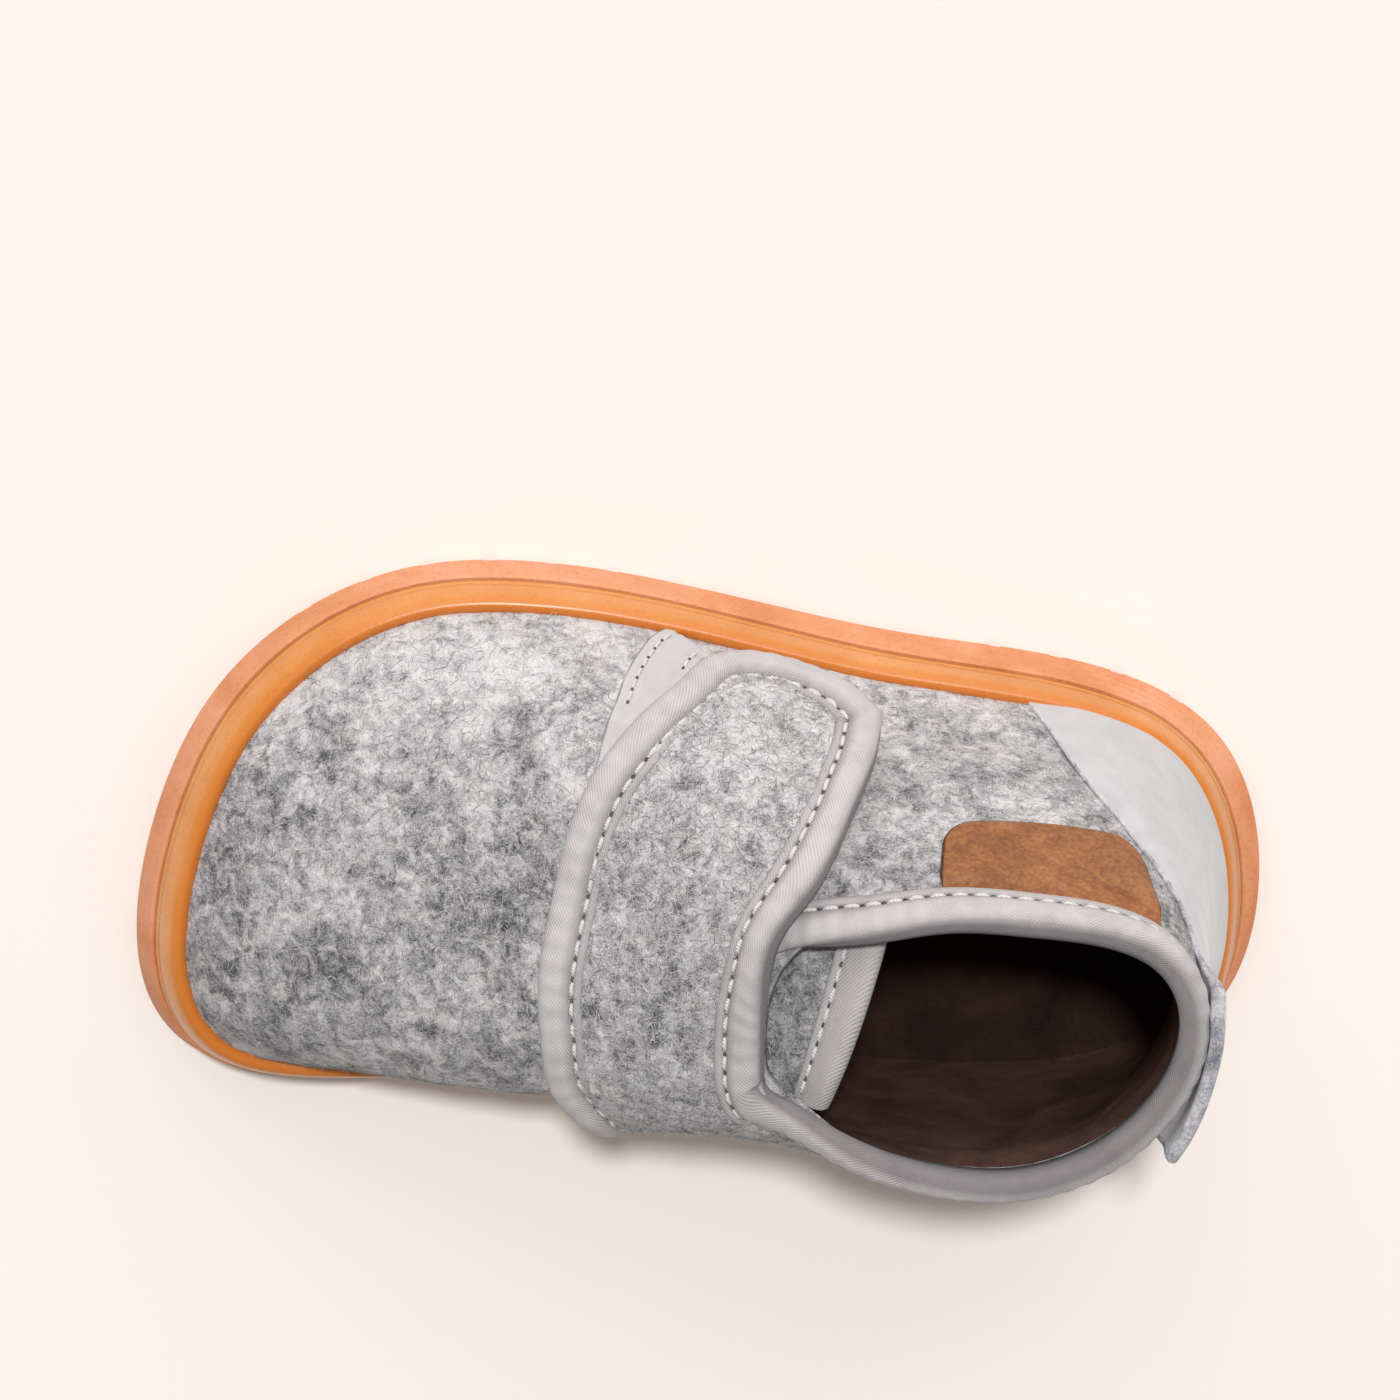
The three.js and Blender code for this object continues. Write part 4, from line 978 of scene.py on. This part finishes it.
def tongue_point(u, v, off=0.0):
    """A place on the tongue's arch, u from side to side, v from front to taped edge."""
    z = sizes()
    rows = open_curve(TONGUE)(np.minimum(v, 1))
    depth = z.felt_wall + 2 * z.seat + 1.6 * MM + z.tongue_felt / 2
    sewn = z.felt_wall + z.tongue_felt / 2 - 0.3 * MM
    inner = shell_at(rows[..., 1], rows[..., 2] + 0.07 * rows[..., 3], 0 * rows[..., 0] - sewn)
    outer = shell_at(rows[..., 0], rows[..., 2], 0 * rows[..., 0] - depth)
    crown = (inner + outer) / 2
    crown[..., 2] += 2 * z.tongue_rise * rows[..., 3]
    u = np.asarray(u)[..., None]
    return inner * (1 - u) ** 2 + crown * 2 * u * (1 - u) + outer * u ** 2


def tongue_grid(u, v):
    """The tongue's middle face with its normals and rearward directions."""
    h = 0.002
    middle = tongue_point(u, v)
    across = tongue_point(u + h, v) - tongue_point(u - h, v)
    back = unit(tongue_point(u, np.minimum(v + h, 1)) - tongue_point(u, np.maximum(v - h, 0)))
    normal = unit(np.cross(back, across))
    normal = np.where(normal[..., 2:] < 0, -normal, normal)
    return middle, normal, back


def make_tongue():
    """The felt underlap inside the front of the collar."""
    z = sizes()
    felt = felted_wool("melange wool felt of the tongue", "333237", "747377", "a4a2a3", "c4c2c1")
    u, v = np.broadcast_arrays(np.linspace(0, 1, 90)[:, None], np.linspace(0, 1, 44)[None, :])
    middle, normal, _back = tongue_grid(u, v)
    top = middle + normal * (z.tongue_felt / 2 + felt_relief(middle, 51))[..., None]
    bottom = middle - normal * z.tongue_felt / 2
    slab("felt_tongue", top, bottom, materials=[felt], slot="tongue_felt", replaced=["tongue"])


# Tapes and stitches

def tape_profile():
    """The rolled tape in section: distance past the felt's edge, face (1 upper, 0 lower), height."""
    z = sizes()
    m, g, r, c = z.tape_margin, z.tape_stitch, z.tape_roll, z.tape_crest
    top = [(-m, 1, 0.0), (-m - 0.05 * MM, 1, 0.4 * MM), (-m + 0.25 * MM, 1, 0.6 * MM),
           (-g - 0.55 * MM, 1, 0.6 * MM),
           (-g - 0.3 * MM, 1, 0.34 * MM), (-g, 1, 0.16 * MM), (-g + 0.3 * MM, 1, 0.4 * MM),
           (-g + 0.55 * MM, 1, 0.85 * MM)]
    start, finish = -g + 0.55 * MM, r
    middle, half = (start + finish) / 2, (finish - start) / 2
    for angle in np.linspace(2.6, 0.35, 9):
        top.append((middle + half * math.cos(angle), 1, 0.45 * MM + (c - 0.45 * MM) * math.sin(angle)))
    edge = [(r - 0.15 * MM, 0.8, 0.0), (r, 0.5, 0.0), (r - 0.15 * MM, 0.2, 0.0)]
    under = [(r - 0.6 * MM, 0, 0.4 * MM), (-0.6 * MM, 0, 0.6 * MM), (-3 * MM, 0, 0.6 * MM),
             (-3.05 * MM, 0, 0.1 * MM), (-1.5 * MM, 0, -0.1 * MM), (-3.4 * MM, 1, -0.2 * MM)]
    return np.array(top + edge + under), 5


def edge_faces(s, t, onto_collar):
    """The heights of the bound edge's two faces, from the flap's to the collar's."""
    low, high = flap_faces(s, t)
    return low + (-sizes().bound_edge - low) * onto_collar, high * (1 - onto_collar)


def rolled_tape(path):
    """Sections of the rolled tape along a path, with cloth coordinates, stitch line and its normals."""
    z = sizes()
    profile, groove = tape_profile()
    line = shell(path[:, 0], path[:, 1])
    gone = run_of(line)
    count = int(gone[-1] / (0.5 * MM))
    wanted = np.linspace(0, gone[-1], count)
    s, t, onto_collar = (np.interp(wanted, gone, path[:, k]) for k in range(3))
    for _ in range(6):
        s[1:-1] = (s[:-2] + 2 * s[1:-1] + s[2:]) / 4
        t[1:-1] = (t[:-2] + 2 * t[1:-1] + t[2:]) / 4
    line = shell(s, t)
    along = unit(np.gradient(line, axis=0))
    for _ in range(10):
        along[1:-1] = unit(along[:-2] + 2 * along[1:-1] + along[2:])
    normal = ways(s, t)[2]
    out = unit(np.cross(normal, along))
    pucker = np.cos(2 * np.pi * wanted / z.stitch_pitch)
    drift = lumps(line, 11 * MM, 61)
    rings = []
    for reach, face, off in profile:
        a, b = walk(s, t, out, reach + 0.14 * MM * drift)
        low, high = edge_faces(a, b, onto_collar)
        if face == 1:
            roll = -3.2 * MM < reach < 1.4 * MM
            height = high + off * (1 + roll * (0.06 * pucker + 0.1 * drift))
        elif face == 0:
            height = low - off
        else:
            height = low + (high - low) * face
        rings.append(shell_at(a, b, height))
    rings = np.array(rings).transpose(1, 0, 2)
    across = run_of(rings[count // 2])
    uv = np.stack(np.broadcast_arrays(wanted[:, None], across[None, :]), -1)
    up = unit(np.cross(rings[:, groove + 1] - rings[:, groove - 1], along))
    up = np.where(((up * normal).sum(-1) < 0)[:, None], -up, up)
    return rings, uv, s, rings[:, groove], up


def capsules(line, up, pitch, radius, first, share, sunk):
    """Bowed capsules in a row: where in each pitch they start, their share of it, how deep they sit."""
    places, gone = np.hstack([line, up]), run_of(line)
    points, faces = [], []
    bow = np.array([-0.9, 0.15, 0.75, 0.95, 0.75, 0.15, -0.9]) - sunk
    girth = np.array([0.5, 0.9, 1.05, 1.1, 1.05, 0.9, 0.5])
    steps = np.array([-0.5, -0.41, -0.23, 0, 0.23, 0.41, 0.5]) * share * pitch
    for k in range(int(gone[-1] / pitch)):
        stations = (k + first) * pitch + steps
        at = np.stack([np.interp(stations, gone, places[:, j]) for j in range(6)], -1)
        high = unit(at[:, 3:])
        middle = at[:, :3] + high * (bow * radius)[:, None]
        side = unit(np.cross(np.gradient(at[:, :3], axis=0), high))
        base = len(points)
        for m, h, w, q in zip(middle, high, girth * radius, side):
            points += [m + (q * math.cos(a) + h * math.sin(a)) * w for a in np.arange(6) * math.pi / 3]
        faces += (grid_faces(7, 6, False, True) + base).tolist()
        faces += [[base + j for j in range(5, -1, -1)], [base + 36 + j for j in range(6)]]
    return points, faces


def make_stitches(name, rows, material, slot):
    """One piece from several rows of stitches, with a dark needle hole of painted shade between each two."""
    hole = needle_hole_shade()
    points, faces, slots = [], [], []
    for line, up, pitch, radius in rows:
        # The second kind of capsule is the needle hole, a sunk dark dent whose colour is painted shade.
        for kind, shape in enumerate(((radius, 0.5, 0.78, 0.0), (radius * 0.85, 1.0, 0.32, 0.6))):
            more, sides = capsules(line, up, pitch, *shape)
            faces += [[v + len(points) for v in face] for face in sides]
            slots += [kind] * len(sides)
            points += more
    faces = [np.array(face) for face in faces]
    return make_piece(name, np.array(points), faces, materials=[material, hole], slot=slot, face_slots=slots)


def make_tapes():
    """The bound edges of flap, collar and tongue with their stitches, and the throat tape."""
    z, look = sizes(), colours()
    twill = cotton_twill("bias-cut cotton twill tape", look.tape_pale, look.tape_dark, 0.36 * MM, rolled=True)
    coarse = cotton_twill("straight-cut twill tape of the tongue", "beb8b8", "9c9697", 0.5 * MM)
    white = thread("pale polyester thread", look.thread_pale, look.thread_dark)
    steps = np.linspace(0.02, 1, 200)
    behind_rand = [(-3.56, 0.085), (-3.53, 0.11)]
    end = open_curve(FLAP_END)(np.linspace(0.02, 1, 60))
    flap = np.vstack([behind_rand, open_curve(FLAP_FRONT)(steps), end, open_curve(FLAP_REAR)(steps[::-1])])
    leaves, joint, finish = FLAP_REAR[0][0], -4.05, 1.7 - ROUND
    collar = np.linspace(leaves - 0.05, finish, 500)
    rise = FLAP_REAR[0][1] + (1 - FLAP_REAR[0][1]) * smooth((leaves - collar) / 0.5)
    rise = rise - 0.045 * smooth((3.3 - ROUND - collar) / 1.6)
    path = np.vstack([flap, np.stack([collar, rise], -1)])
    rear = np.arange(len(path)) > len(behind_rand) + len(steps) + len(end)
    onto_collar = rear * smooth((-1.7 - path[:, 0]) / 2.5)
    rings, uv, s, line, up = rolled_tape(np.column_stack([path, onto_collar]))
    cut = len(s) // 3 + int(np.argmax(s[len(s) // 3:] < joint))
    tube("flap_edge_tape", rings[:cut + 1], (True, False), materials=[twill], slot="bias_tape",
         replaced=["flap_binding"], uv=uv[:cut + 1])
    tube("collar_edge_tape", rings[cut:], (False, True), materials=[twill], slot="collar_tape",
         replaced=["collar_binding"], uv=uv[cut:])
    rows = [(line, up, z.stitch_pitch, z.thread), (*tongue_tape(coarse), z.stitch_pitch, z.thread)]
    rows += [(*row, 2.6 * MM, z.thread * 0.8) for row in throat_tape()]
    make_stitches("edge_stitches", rows, white, "bias_tape")


def tongue_tape(material):
    """The flat twill tape folded over the tongue's rear edge; returns its stitch line."""
    z = sizes()
    u = np.linspace(0, 1, 160)
    length_back = float(np.linalg.norm(tongue_point(np.array(0.5), np.array(1.0))
                                       - tongue_point(np.array(0.5), np.array(0.0))))
    half = z.tongue_felt / 2
    reach = 6.2 * MM
    profile = [(-reach, half), (-reach, half + 0.45 * MM), (-reach + 0.3 * MM, half + 0.55 * MM),
               (-reach + 1.1 * MM, half + 0.52 * MM), (-reach + 1.5 * MM, half + 0.25 * MM),
               (-reach + 1.9 * MM, half + 0.52 * MM), (-reach + 3 * MM, half + 0.62 * MM),
               (-1.6 * MM, half + 0.6 * MM),
               (-0.2 * MM, half + 0.5 * MM), (0.8 * MM, half), (1.15 * MM, 0), (0.8 * MM, -half),
               (-0.2 * MM, -half - 0.5 * MM), (-4 * MM, -half - 0.55 * MM), (-4 * MM, -half), (-1 * MM, 0)]
    rings = []
    for out, off in profile:
        inside = min(out, 0)
        middle, normal, back = tongue_grid(u, 1 + inside / length_back + 0 * u)
        rings.append(middle + normal * off + back * (out - inside))
    rings = np.array(rings).transpose(1, 0, 2)
    run = run_of(rings[:, 8])
    across = np.array([p[0] for p in profile])
    uv = np.stack(np.broadcast_arrays(run[:, None], across[None, :]), -1)
    tube("tongue_edge_tape", rings, materials=[material], slot="twill_tape", replaced=["tongue_binding"],
         uv=uv)
    _middle, normal, _back = tongue_grid(u, 1 - 0.6 + 0 * u)
    return rings[6:-6, 4], normal[6:-6]


def throat_tape():
    """The smooth tape on the toe box; returns its two stitch lines."""
    z = sizes()
    smooth_tape = cotton_twill("smooth grosgrain tape", "cac6c6", "bab5b6", 0.3 * MM, 0.0)
    u, v = np.broadcast_arrays(np.linspace(0, 1, 90)[:, None], np.linspace(0, 1, 24)[None, :])
    s, t = np.moveaxis(open_curve(THROAT)(u), -1, 0)
    ahead = open_curve(THROAT)(np.minimum(u + 0.01, 1))
    behind = open_curve(THROAT)(np.maximum(u - 0.01, 0))
    along = shell(ahead[..., 0], ahead[..., 1]) - shell(behind[..., 0], behind[..., 1])
    rearward = unit(np.cross(along, ways(s, t)[2]))
    a, b = walk(s, t, rearward, -v * z.trim_width)
    edge_distance = np.minimum(v, 1 - v) * z.trim_width
    groove = 0.25 * MM * np.exp(-((edge_distance - 1.5 * MM) / (0.35 * MM)) ** 2)
    height = 0.75 * MM - groove + 0.06 * MM * lumps(shell(a, b), 5 * MM, 71)
    top = shell_at(a, b, height)
    bottom = shell_at(a, b, 0 * height - 0.1 * MM)
    run = run_of(top[:, 12])
    upper_uv = np.stack([run[:, None] + 0 * v, v * z.trim_width], -1).reshape(-1, 2)
    border = 2 * (90 + 24) - 4
    uv = np.vstack([upper_uv, upper_uv, np.zeros((3 * border, 2))])
    slab("throat_tape", top, bottom, materials=[smooth_tape], slot="smooth_tape", replaced=["throat_trim"],
         uv=uv)
    normal = ways(a, b)[2]
    left, right = 4, 19
    return (top[4:-30, left], normal[4:-30, left]), (top[4:-55, right], normal[4:-55, right])


# Overlays

def make_heel_counter():
    """The smooth heel counter, whose top stands free as a pull tab with a fuzzy double edge."""
    z, look = sizes(), colours()
    suede = nubuck("pale grey nubuck", look.counter_pale, look.counter_dark)
    v, u = np.broadcast_arrays(np.linspace(0, 1, 110)[:, None], np.linspace(0, 1, 130)[None, :])
    rows = open_curve(COUNTER)(v)
    s = rows[..., 1] + (rows[..., 2] - rows[..., 1]) * u
    t = rows[..., 0]
    free = smooth((t - 0.78) / 0.13)
    low = 0.1 * MM + (z.tape_roll + 0.3 * MM) * free + 2.6 * MM * free * smooth((s - 8.1) / 1.2)
    base = shell(s, t)
    thick = 1.2 * MM + 0.7 * MM * free
    skived = smooth(np.minimum(u, 1 - u) * 14)
    skived = skived + (1 - skived) * free
    height = low + thick * (0.45 + 0.55 * skived) + 0.07 * MM * lumps(base, 7 * MM, 81)
    top = shell_at(s, t, height)
    bottom = shell_at(s, t, low - 0.1 * MM)
    fuzz = felted_wool("cut felt edge of the pull tab", "7d7c84", "adabb1", "cccacf", "e2e0e2")
    slab("heel_counter_tab", top, bottom, edge=5, cut_edge=fuzz, materials=[suede], slot="pale_suede",
         replaced=["heel_counter"])


def corner_patch(name, corners, low, thickness, corner, slot, replaced, wave=0.05, tucked=0.0, **looks):
    """A patch between four places on the last, lower corners rounded, upper edge pressed flat."""
    a, b, c, d = (np.array(p) for p in corners)
    high = np.linalg.norm(shell(*a) - shell(*b))
    wide = np.linalg.norm(shell(*a) - shell(*c))
    v = np.linspace(0, 1, 36) ** 1.5
    away = np.clip(corner - v * high, 0, corner)
    inset = (corner - np.sqrt(np.maximum(corner ** 2 - away ** 2, 0))) / wide
    u = np.linspace(0, 1, 60)[:, None] * (1 - 2 * inset[None, :]) + inset[None, :]
    v = np.broadcast_to(v[None, :], u.shape)
    place = (a + (b - a) * v[..., None]) * (1 - u[..., None]) + (c + (d - c) * v[..., None]) * u[..., None]
    s, t = place[..., 0], place[..., 1]
    bare = shell(s, t)
    pressed = 1 - tucked * smooth((v - 0.78) / 0.14)
    top = shell_at(s, t, low(s) + thickness * pressed + wave * MM * lumps(bare, 4 * MM, 91))
    bottom = shell_at(s, t, low(s) + 0 * s)
    return slab(name, top, bottom, slot=slot, replaced=replaced, **looks)


def make_label():
    """The plain tan leather patch under the collar tape."""
    look = colours()
    tan = oiled_leather("oiled tan leather", look.leather_dark, look.leather_middle, look.leather_pale)
    burnished = oiled_leather("burnished cut edge of the leather", "4a2b17", "5a361d", "6b4226")
    corner_patch("leather_patch", LABEL, lambda s: 0.15 * MM + 0 * s, 1.15 * MM, 4 * MM, "tan_leather",
                 ["side_label"], tucked=0.68, materials=[tan], cut_edge=burnished)


def make_closure():
    """The looped and the hooked half of the touch closure."""
    pile = touch_pile("dark loop pile")
    corner_patch("loop_patch", LOOP_PATCH, lambda s: 0.1 * MM + 0 * s, 1.0 * MM, 0.5 * MM, "loop_pile",
                 ["closure_loop_patch"], wave=0.15, materials=[pile])
    corner_patch("hook_patch", HOOK_PATCH, lambda s: flap_faces(s, 0.0)[0] - 1.0 * MM, 0.8 * MM, 0.5 * MM,
                 "hook_tape", ["closure_hook_patch"], wave=0.1, materials=[pile])


# Loose fibres

def fibres(name, base, normal, forward, material, slot, seed):
    """Curved ribbons of wool that lie on the felt, each rooted at a base point."""
    look = bpy.context.scene.slipper_fibres
    rng = np.random.default_rng(seed)
    count = len(base)
    side = unit(np.cross(normal, forward))
    angle = rng.uniform(0, 2 * np.pi, count)
    way = forward * np.cos(angle)[:, None] + side * np.sin(angle)[:, None]
    cross = np.cross(normal, way)
    reach = look.reach * rng.uniform(0.35, 1.0, count)
    curl = rng.normal(0, 0.55, count)
    high = np.abs(rng.normal(0.12, 0.12, count)) * MM
    stands = rng.uniform(0, 1, count) < 0.12
    tip = np.where(stands, rng.uniform(0.2, 0.8, count), rng.uniform(-0.1, 0.18, count)) * MM
    width = look.width * rng.uniform(0.6, 1.3, count)
    knots = np.linspace(0, 1, 4)
    rings = []
    for k in knots:
        middle = (base + way * (reach * (k - 0.5) * (1 - 0.18 * curl ** 2 * (k - 0.5) ** 2))[:, None]
                  + cross * (reach * curl * (k - 0.5) ** 2)[:, None])
        height = high * np.sin(np.pi * k) + tip * k ** 2 - 0.06 * MM * (1 - k)
        middle = middle + normal * (height - (reach * (k - 0.5)) ** 2 / (2 * 0.035))[:, None]
        half = width * (0.6 + 0.4 * math.sin(math.pi * k)) / 2
        rings.append(middle - cross * half[:, None])
        rings.append(middle + cross * half[:, None])
    points = np.array(rings).transpose(1, 0, 2)
    start = (np.arange(count) * 2 * len(knots))[:, None]
    quads = [start + np.array([[2 * k, 2 * k + 1, 2 * k + 3, 2 * k + 2]]) for k in range(len(knots) - 1)]
    return make_piece(name, points, np.vstack(quads), materials=[material], slot=slot)


def scatter(skin, count, low, high, seed):
    """Random places, evenly spread by area, on a face given by two shares."""
    rng = np.random.default_rng(seed)
    tries = rng.uniform(0, 1, (count * 4, 2))
    a = low[0] + (high[0] - low[0]) * tries[:, 0]
    b = low[1] + (high[1] - low[1]) * tries[:, 1]
    h = 1e-3
    one = skin(a + h, b) - skin(a - h, b)
    two = skin(a, b + h) - skin(a, b - h)
    area = np.linalg.norm(np.cross(one, two), axis=-1)
    keep = np.argsort(rng.uniform(0, 1, len(area)) ** (1 / np.maximum(area, 1e-12) * area.mean()))[-count:]
    return skin(a[keep], b[keep]), unit(one[keep]), a[keep], b[keep]


def tongue_skin(u, v):
    """The tongue's upper face."""
    middle, normal, _back = tongue_grid(u, v)
    return middle + normal * sizes().tongue_felt / 2


def make_fibres():
    """Pale and dark loose fibres on upper, flap and tongue."""
    look = bpy.context.scene.slipper_fibres
    pale = wool_fibre("pale wool fibres", "a9a7a6", "dedcd9")
    dark = wool_fibre("dark wool fibres", "47474c", "75757a")
    for tone, material, share, step in (("pale", pale, 0.66, 0), ("dark", dark, 0.34, 50)):
        count = int(look.upper_count * share)
        base, forward, s, t = scatter(felt_skin, count, (0, 0.03), (ROUND, 0.985), look.seed + step)
        fibres(f"upper_fibres_{tone}", base, ways(s, t)[2], forward, material, "grey_felt",
               look.seed + step + 1)
        count = int(look.flap_count * share)
        base, forward, u, v = scatter(flap_skin, count, (0.01, 0.04), (0.99, 0.96), look.seed + step + 2)
        s, t = flap_place(u, v)
        fibres(f"flap_fibres_{tone}", base, ways(s, t)[2], forward, material, "flap_felt",
               look.seed + step + 3)
        count = int(look.tongue_count * share)
        base, forward, u, v = scatter(tongue_skin, count, (0.02, 0.02), (0.98, 0.98), look.seed + step + 4)
        fibres(f"tongue_fibres_{tone}", base, tongue_grid(u, v)[1], forward, material, "tongue_felt",
               look.seed + step + 5)


# Stage

def make_stage():
    """A pale floor, soft light from above the outer side, and the photograph's camera."""
    stage = bpy.context.scene.slipper_stage
    mesh = bpy.data.meshes.new("floor")
    corners = [(-FLOOR, -FLOOR, 0), (FLOOR, -FLOOR, 0), (FLOOR, FLOOR, 0), (-FLOOR, FLOOR, 0)]
    mesh.from_pydata(corners, [], [(0, 1, 2, 3)])
    material, tree, shader, where = begin("pale studio paper")
    tree.links.new(ramp(tree, noise(tree, where, 0.2, 2), (0.3, "f7f0e9"), (0.7, "f8f1ea")),
                   shader.inputs["Base Color"])
    dress(shader, Roughness=1.0, Specular_IOR_Level=0.0)
    mesh.materials.append(material)
    floor = bpy.data.objects.new("floor", mesh)
    bpy.context.scene.collection.objects.link(floor)

    world = bpy.data.worlds.new("studio")
    world.use_nodes = True
    world.node_tree.nodes["Background"].inputs["Color"].default_value = (1.0, 0.99, 0.98, 1.0)
    world.node_tree.nodes["Background"].inputs["Strength"].default_value = stage.sky
    bpy.context.scene.world = world
    for name, power, height, wide in (("main_light", stage.key, stage.height, stage.softness),
                                      ("side_light", stage.side, stage.side_height, stage.side_softness)):
        light = bpy.data.lights.new(name, "SUN")
        light.energy = power
        light.angle = wide
        lamp = bpy.data.objects.new(name, light)
        lamp.location = (0.0, -math.cos(height), math.sin(height))
        lamp.rotation_euler = (-lamp.location).to_track_quat("-Z", "Y").to_euler()
        bpy.context.scene.collection.objects.link(lamp)

    up, over = math.sin(stage.elevation), math.cos(stage.elevation)
    back = Vector((0, -over, up))
    right = Vector((-1, 0, 0))
    high = back.cross(right)
    target = Vector(stage.target)
    camera = bpy.data.cameras.new("camera")
    camera.lens = stage.lens
    camera.sensor_width = 36
    camera.clip_end = 20
    viewer = bpy.data.objects.new("camera", camera)
    turn = Matrix((right, high, back)).transposed()
    viewer.matrix_world = Matrix.Translation(target + back * stage.distance) @ turn.to_4x4()
    bpy.context.scene.collection.objects.link(viewer)
    bpy.context.scene.camera = viewer
    bpy.context.scene.view_settings.view_transform = "Standard"


# Operators and panel

class SLIPPER_OT_stage(bpy.types.Operator):
    """Make the floor, the light and the camera"""
    bl_idname = "slipper.stage"
    bl_label = "Stage"

    def execute(self, context):
        make_stage()
        return {"FINISHED"}


class SLIPPER_OT_rubber(bpy.types.Operator):
    """Make the outsole and the rand strip"""
    bl_idname = "slipper.rubber"
    bl_label = "Rubber sole"

    def execute(self, context):
        make_rubber()
        return {"FINISHED"}


class SLIPPER_OT_insole(bpy.types.Operator):
    """Make the footbed"""
    bl_idname = "slipper.insole"
    bl_label = "Insole"

    def execute(self, context):
        make_insole()
        return {"FINISHED"}


class SLIPPER_OT_upper(bpy.types.Operator):
    """Make the felt upper and its lining"""
    bl_idname = "slipper.upper"
    bl_label = "Upper"

    def execute(self, context):
        make_upper()
        return {"FINISHED"}


class SLIPPER_OT_flap(bpy.types.Operator):
    """Make the instep flap"""
    bl_idname = "slipper.flap"
    bl_label = "Flap"

    def execute(self, context):
        make_flap()
        return {"FINISHED"}


class SLIPPER_OT_tongue(bpy.types.Operator):
    """Make the felt underlap"""
    bl_idname = "slipper.tongue"
    bl_label = "Tongue"

    def execute(self, context):
        make_tongue()
        return {"FINISHED"}


class SLIPPER_OT_tapes(bpy.types.Operator):
    """Make the bound edges and their stitches"""
    bl_idname = "slipper.tapes"
    bl_label = "Tapes"

    def execute(self, context):
        make_tapes()
        return {"FINISHED"}


class SLIPPER_OT_heel_counter(bpy.types.Operator):
    """Make the heel counter with its pull tab"""
    bl_idname = "slipper.heel_counter"
    bl_label = "Heel counter"

    def execute(self, context):
        make_heel_counter()
        return {"FINISHED"}


class SLIPPER_OT_label(bpy.types.Operator):
    """Make the plain leather patch"""
    bl_idname = "slipper.label"
    bl_label = "Leather patch"

    def execute(self, context):
        make_label()
        return {"FINISHED"}


class SLIPPER_OT_closure(bpy.types.Operator):
    """Make the two halves of the touch closure"""
    bl_idname = "slipper.closure"
    bl_label = "Closure"

    def execute(self, context):
        make_closure()
        return {"FINISHED"}


class SLIPPER_OT_fibres(bpy.types.Operator):
    """Lay loose wool fibres on the felt"""
    bl_idname = "slipper.fibres"
    bl_label = "Fibres"

    def execute(self, context):
        make_fibres()
        return {"FINISHED"}


OPERATORS = [
    SLIPPER_OT_stage, SLIPPER_OT_rubber, SLIPPER_OT_insole, SLIPPER_OT_upper, SLIPPER_OT_flap,
    SLIPPER_OT_tongue, SLIPPER_OT_tapes, SLIPPER_OT_heel_counter, SLIPPER_OT_label, SLIPPER_OT_closure,
    SLIPPER_OT_fibres]


class SLIPPER_PT_panel(bpy.types.Panel):
    """Lists the steps that make the slipper."""
    bl_label = "Slipper"
    bl_idname = "SLIPPER_PT_panel"
    bl_space_type = "VIEW_3D"
    bl_region_type = "UI"
    bl_category = "Slipper"

    def draw(self, context):
        for made in OPERATORS:
            self.layout.operator(made.bl_idname)
        for group in GROUPS:
            box = self.layout.box()
            values = getattr(context.scene, group)
            for name in values.bl_rna.properties.keys():
                if name not in ("rna_type", "name"):
                    box.prop(values, name)


CLASSES = [*GROUPS.values(), *OPERATORS, SLIPPER_PT_panel]


def register():
    """Registers the classes and gives the scene their values."""
    for made in CLASSES:
        bpy.utils.register_class(made)
    for name, group in GROUPS.items():
        setattr(bpy.types.Scene, name, PointerProperty(type=group))


def unregister():
    """Takes them away again."""
    for name in GROUPS:
        delattr(bpy.types.Scene, name)
    for made in reversed(CLASSES):
        bpy.utils.unregister_class(made)


def main():
    """Registers the classes and makes the slipper."""
    register()
    for made in OPERATORS:
        group, name = made.bl_idname.split(".")
        getattr(getattr(bpy.ops, group), name)()
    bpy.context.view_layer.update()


if __name__ == "__main__":
    main()
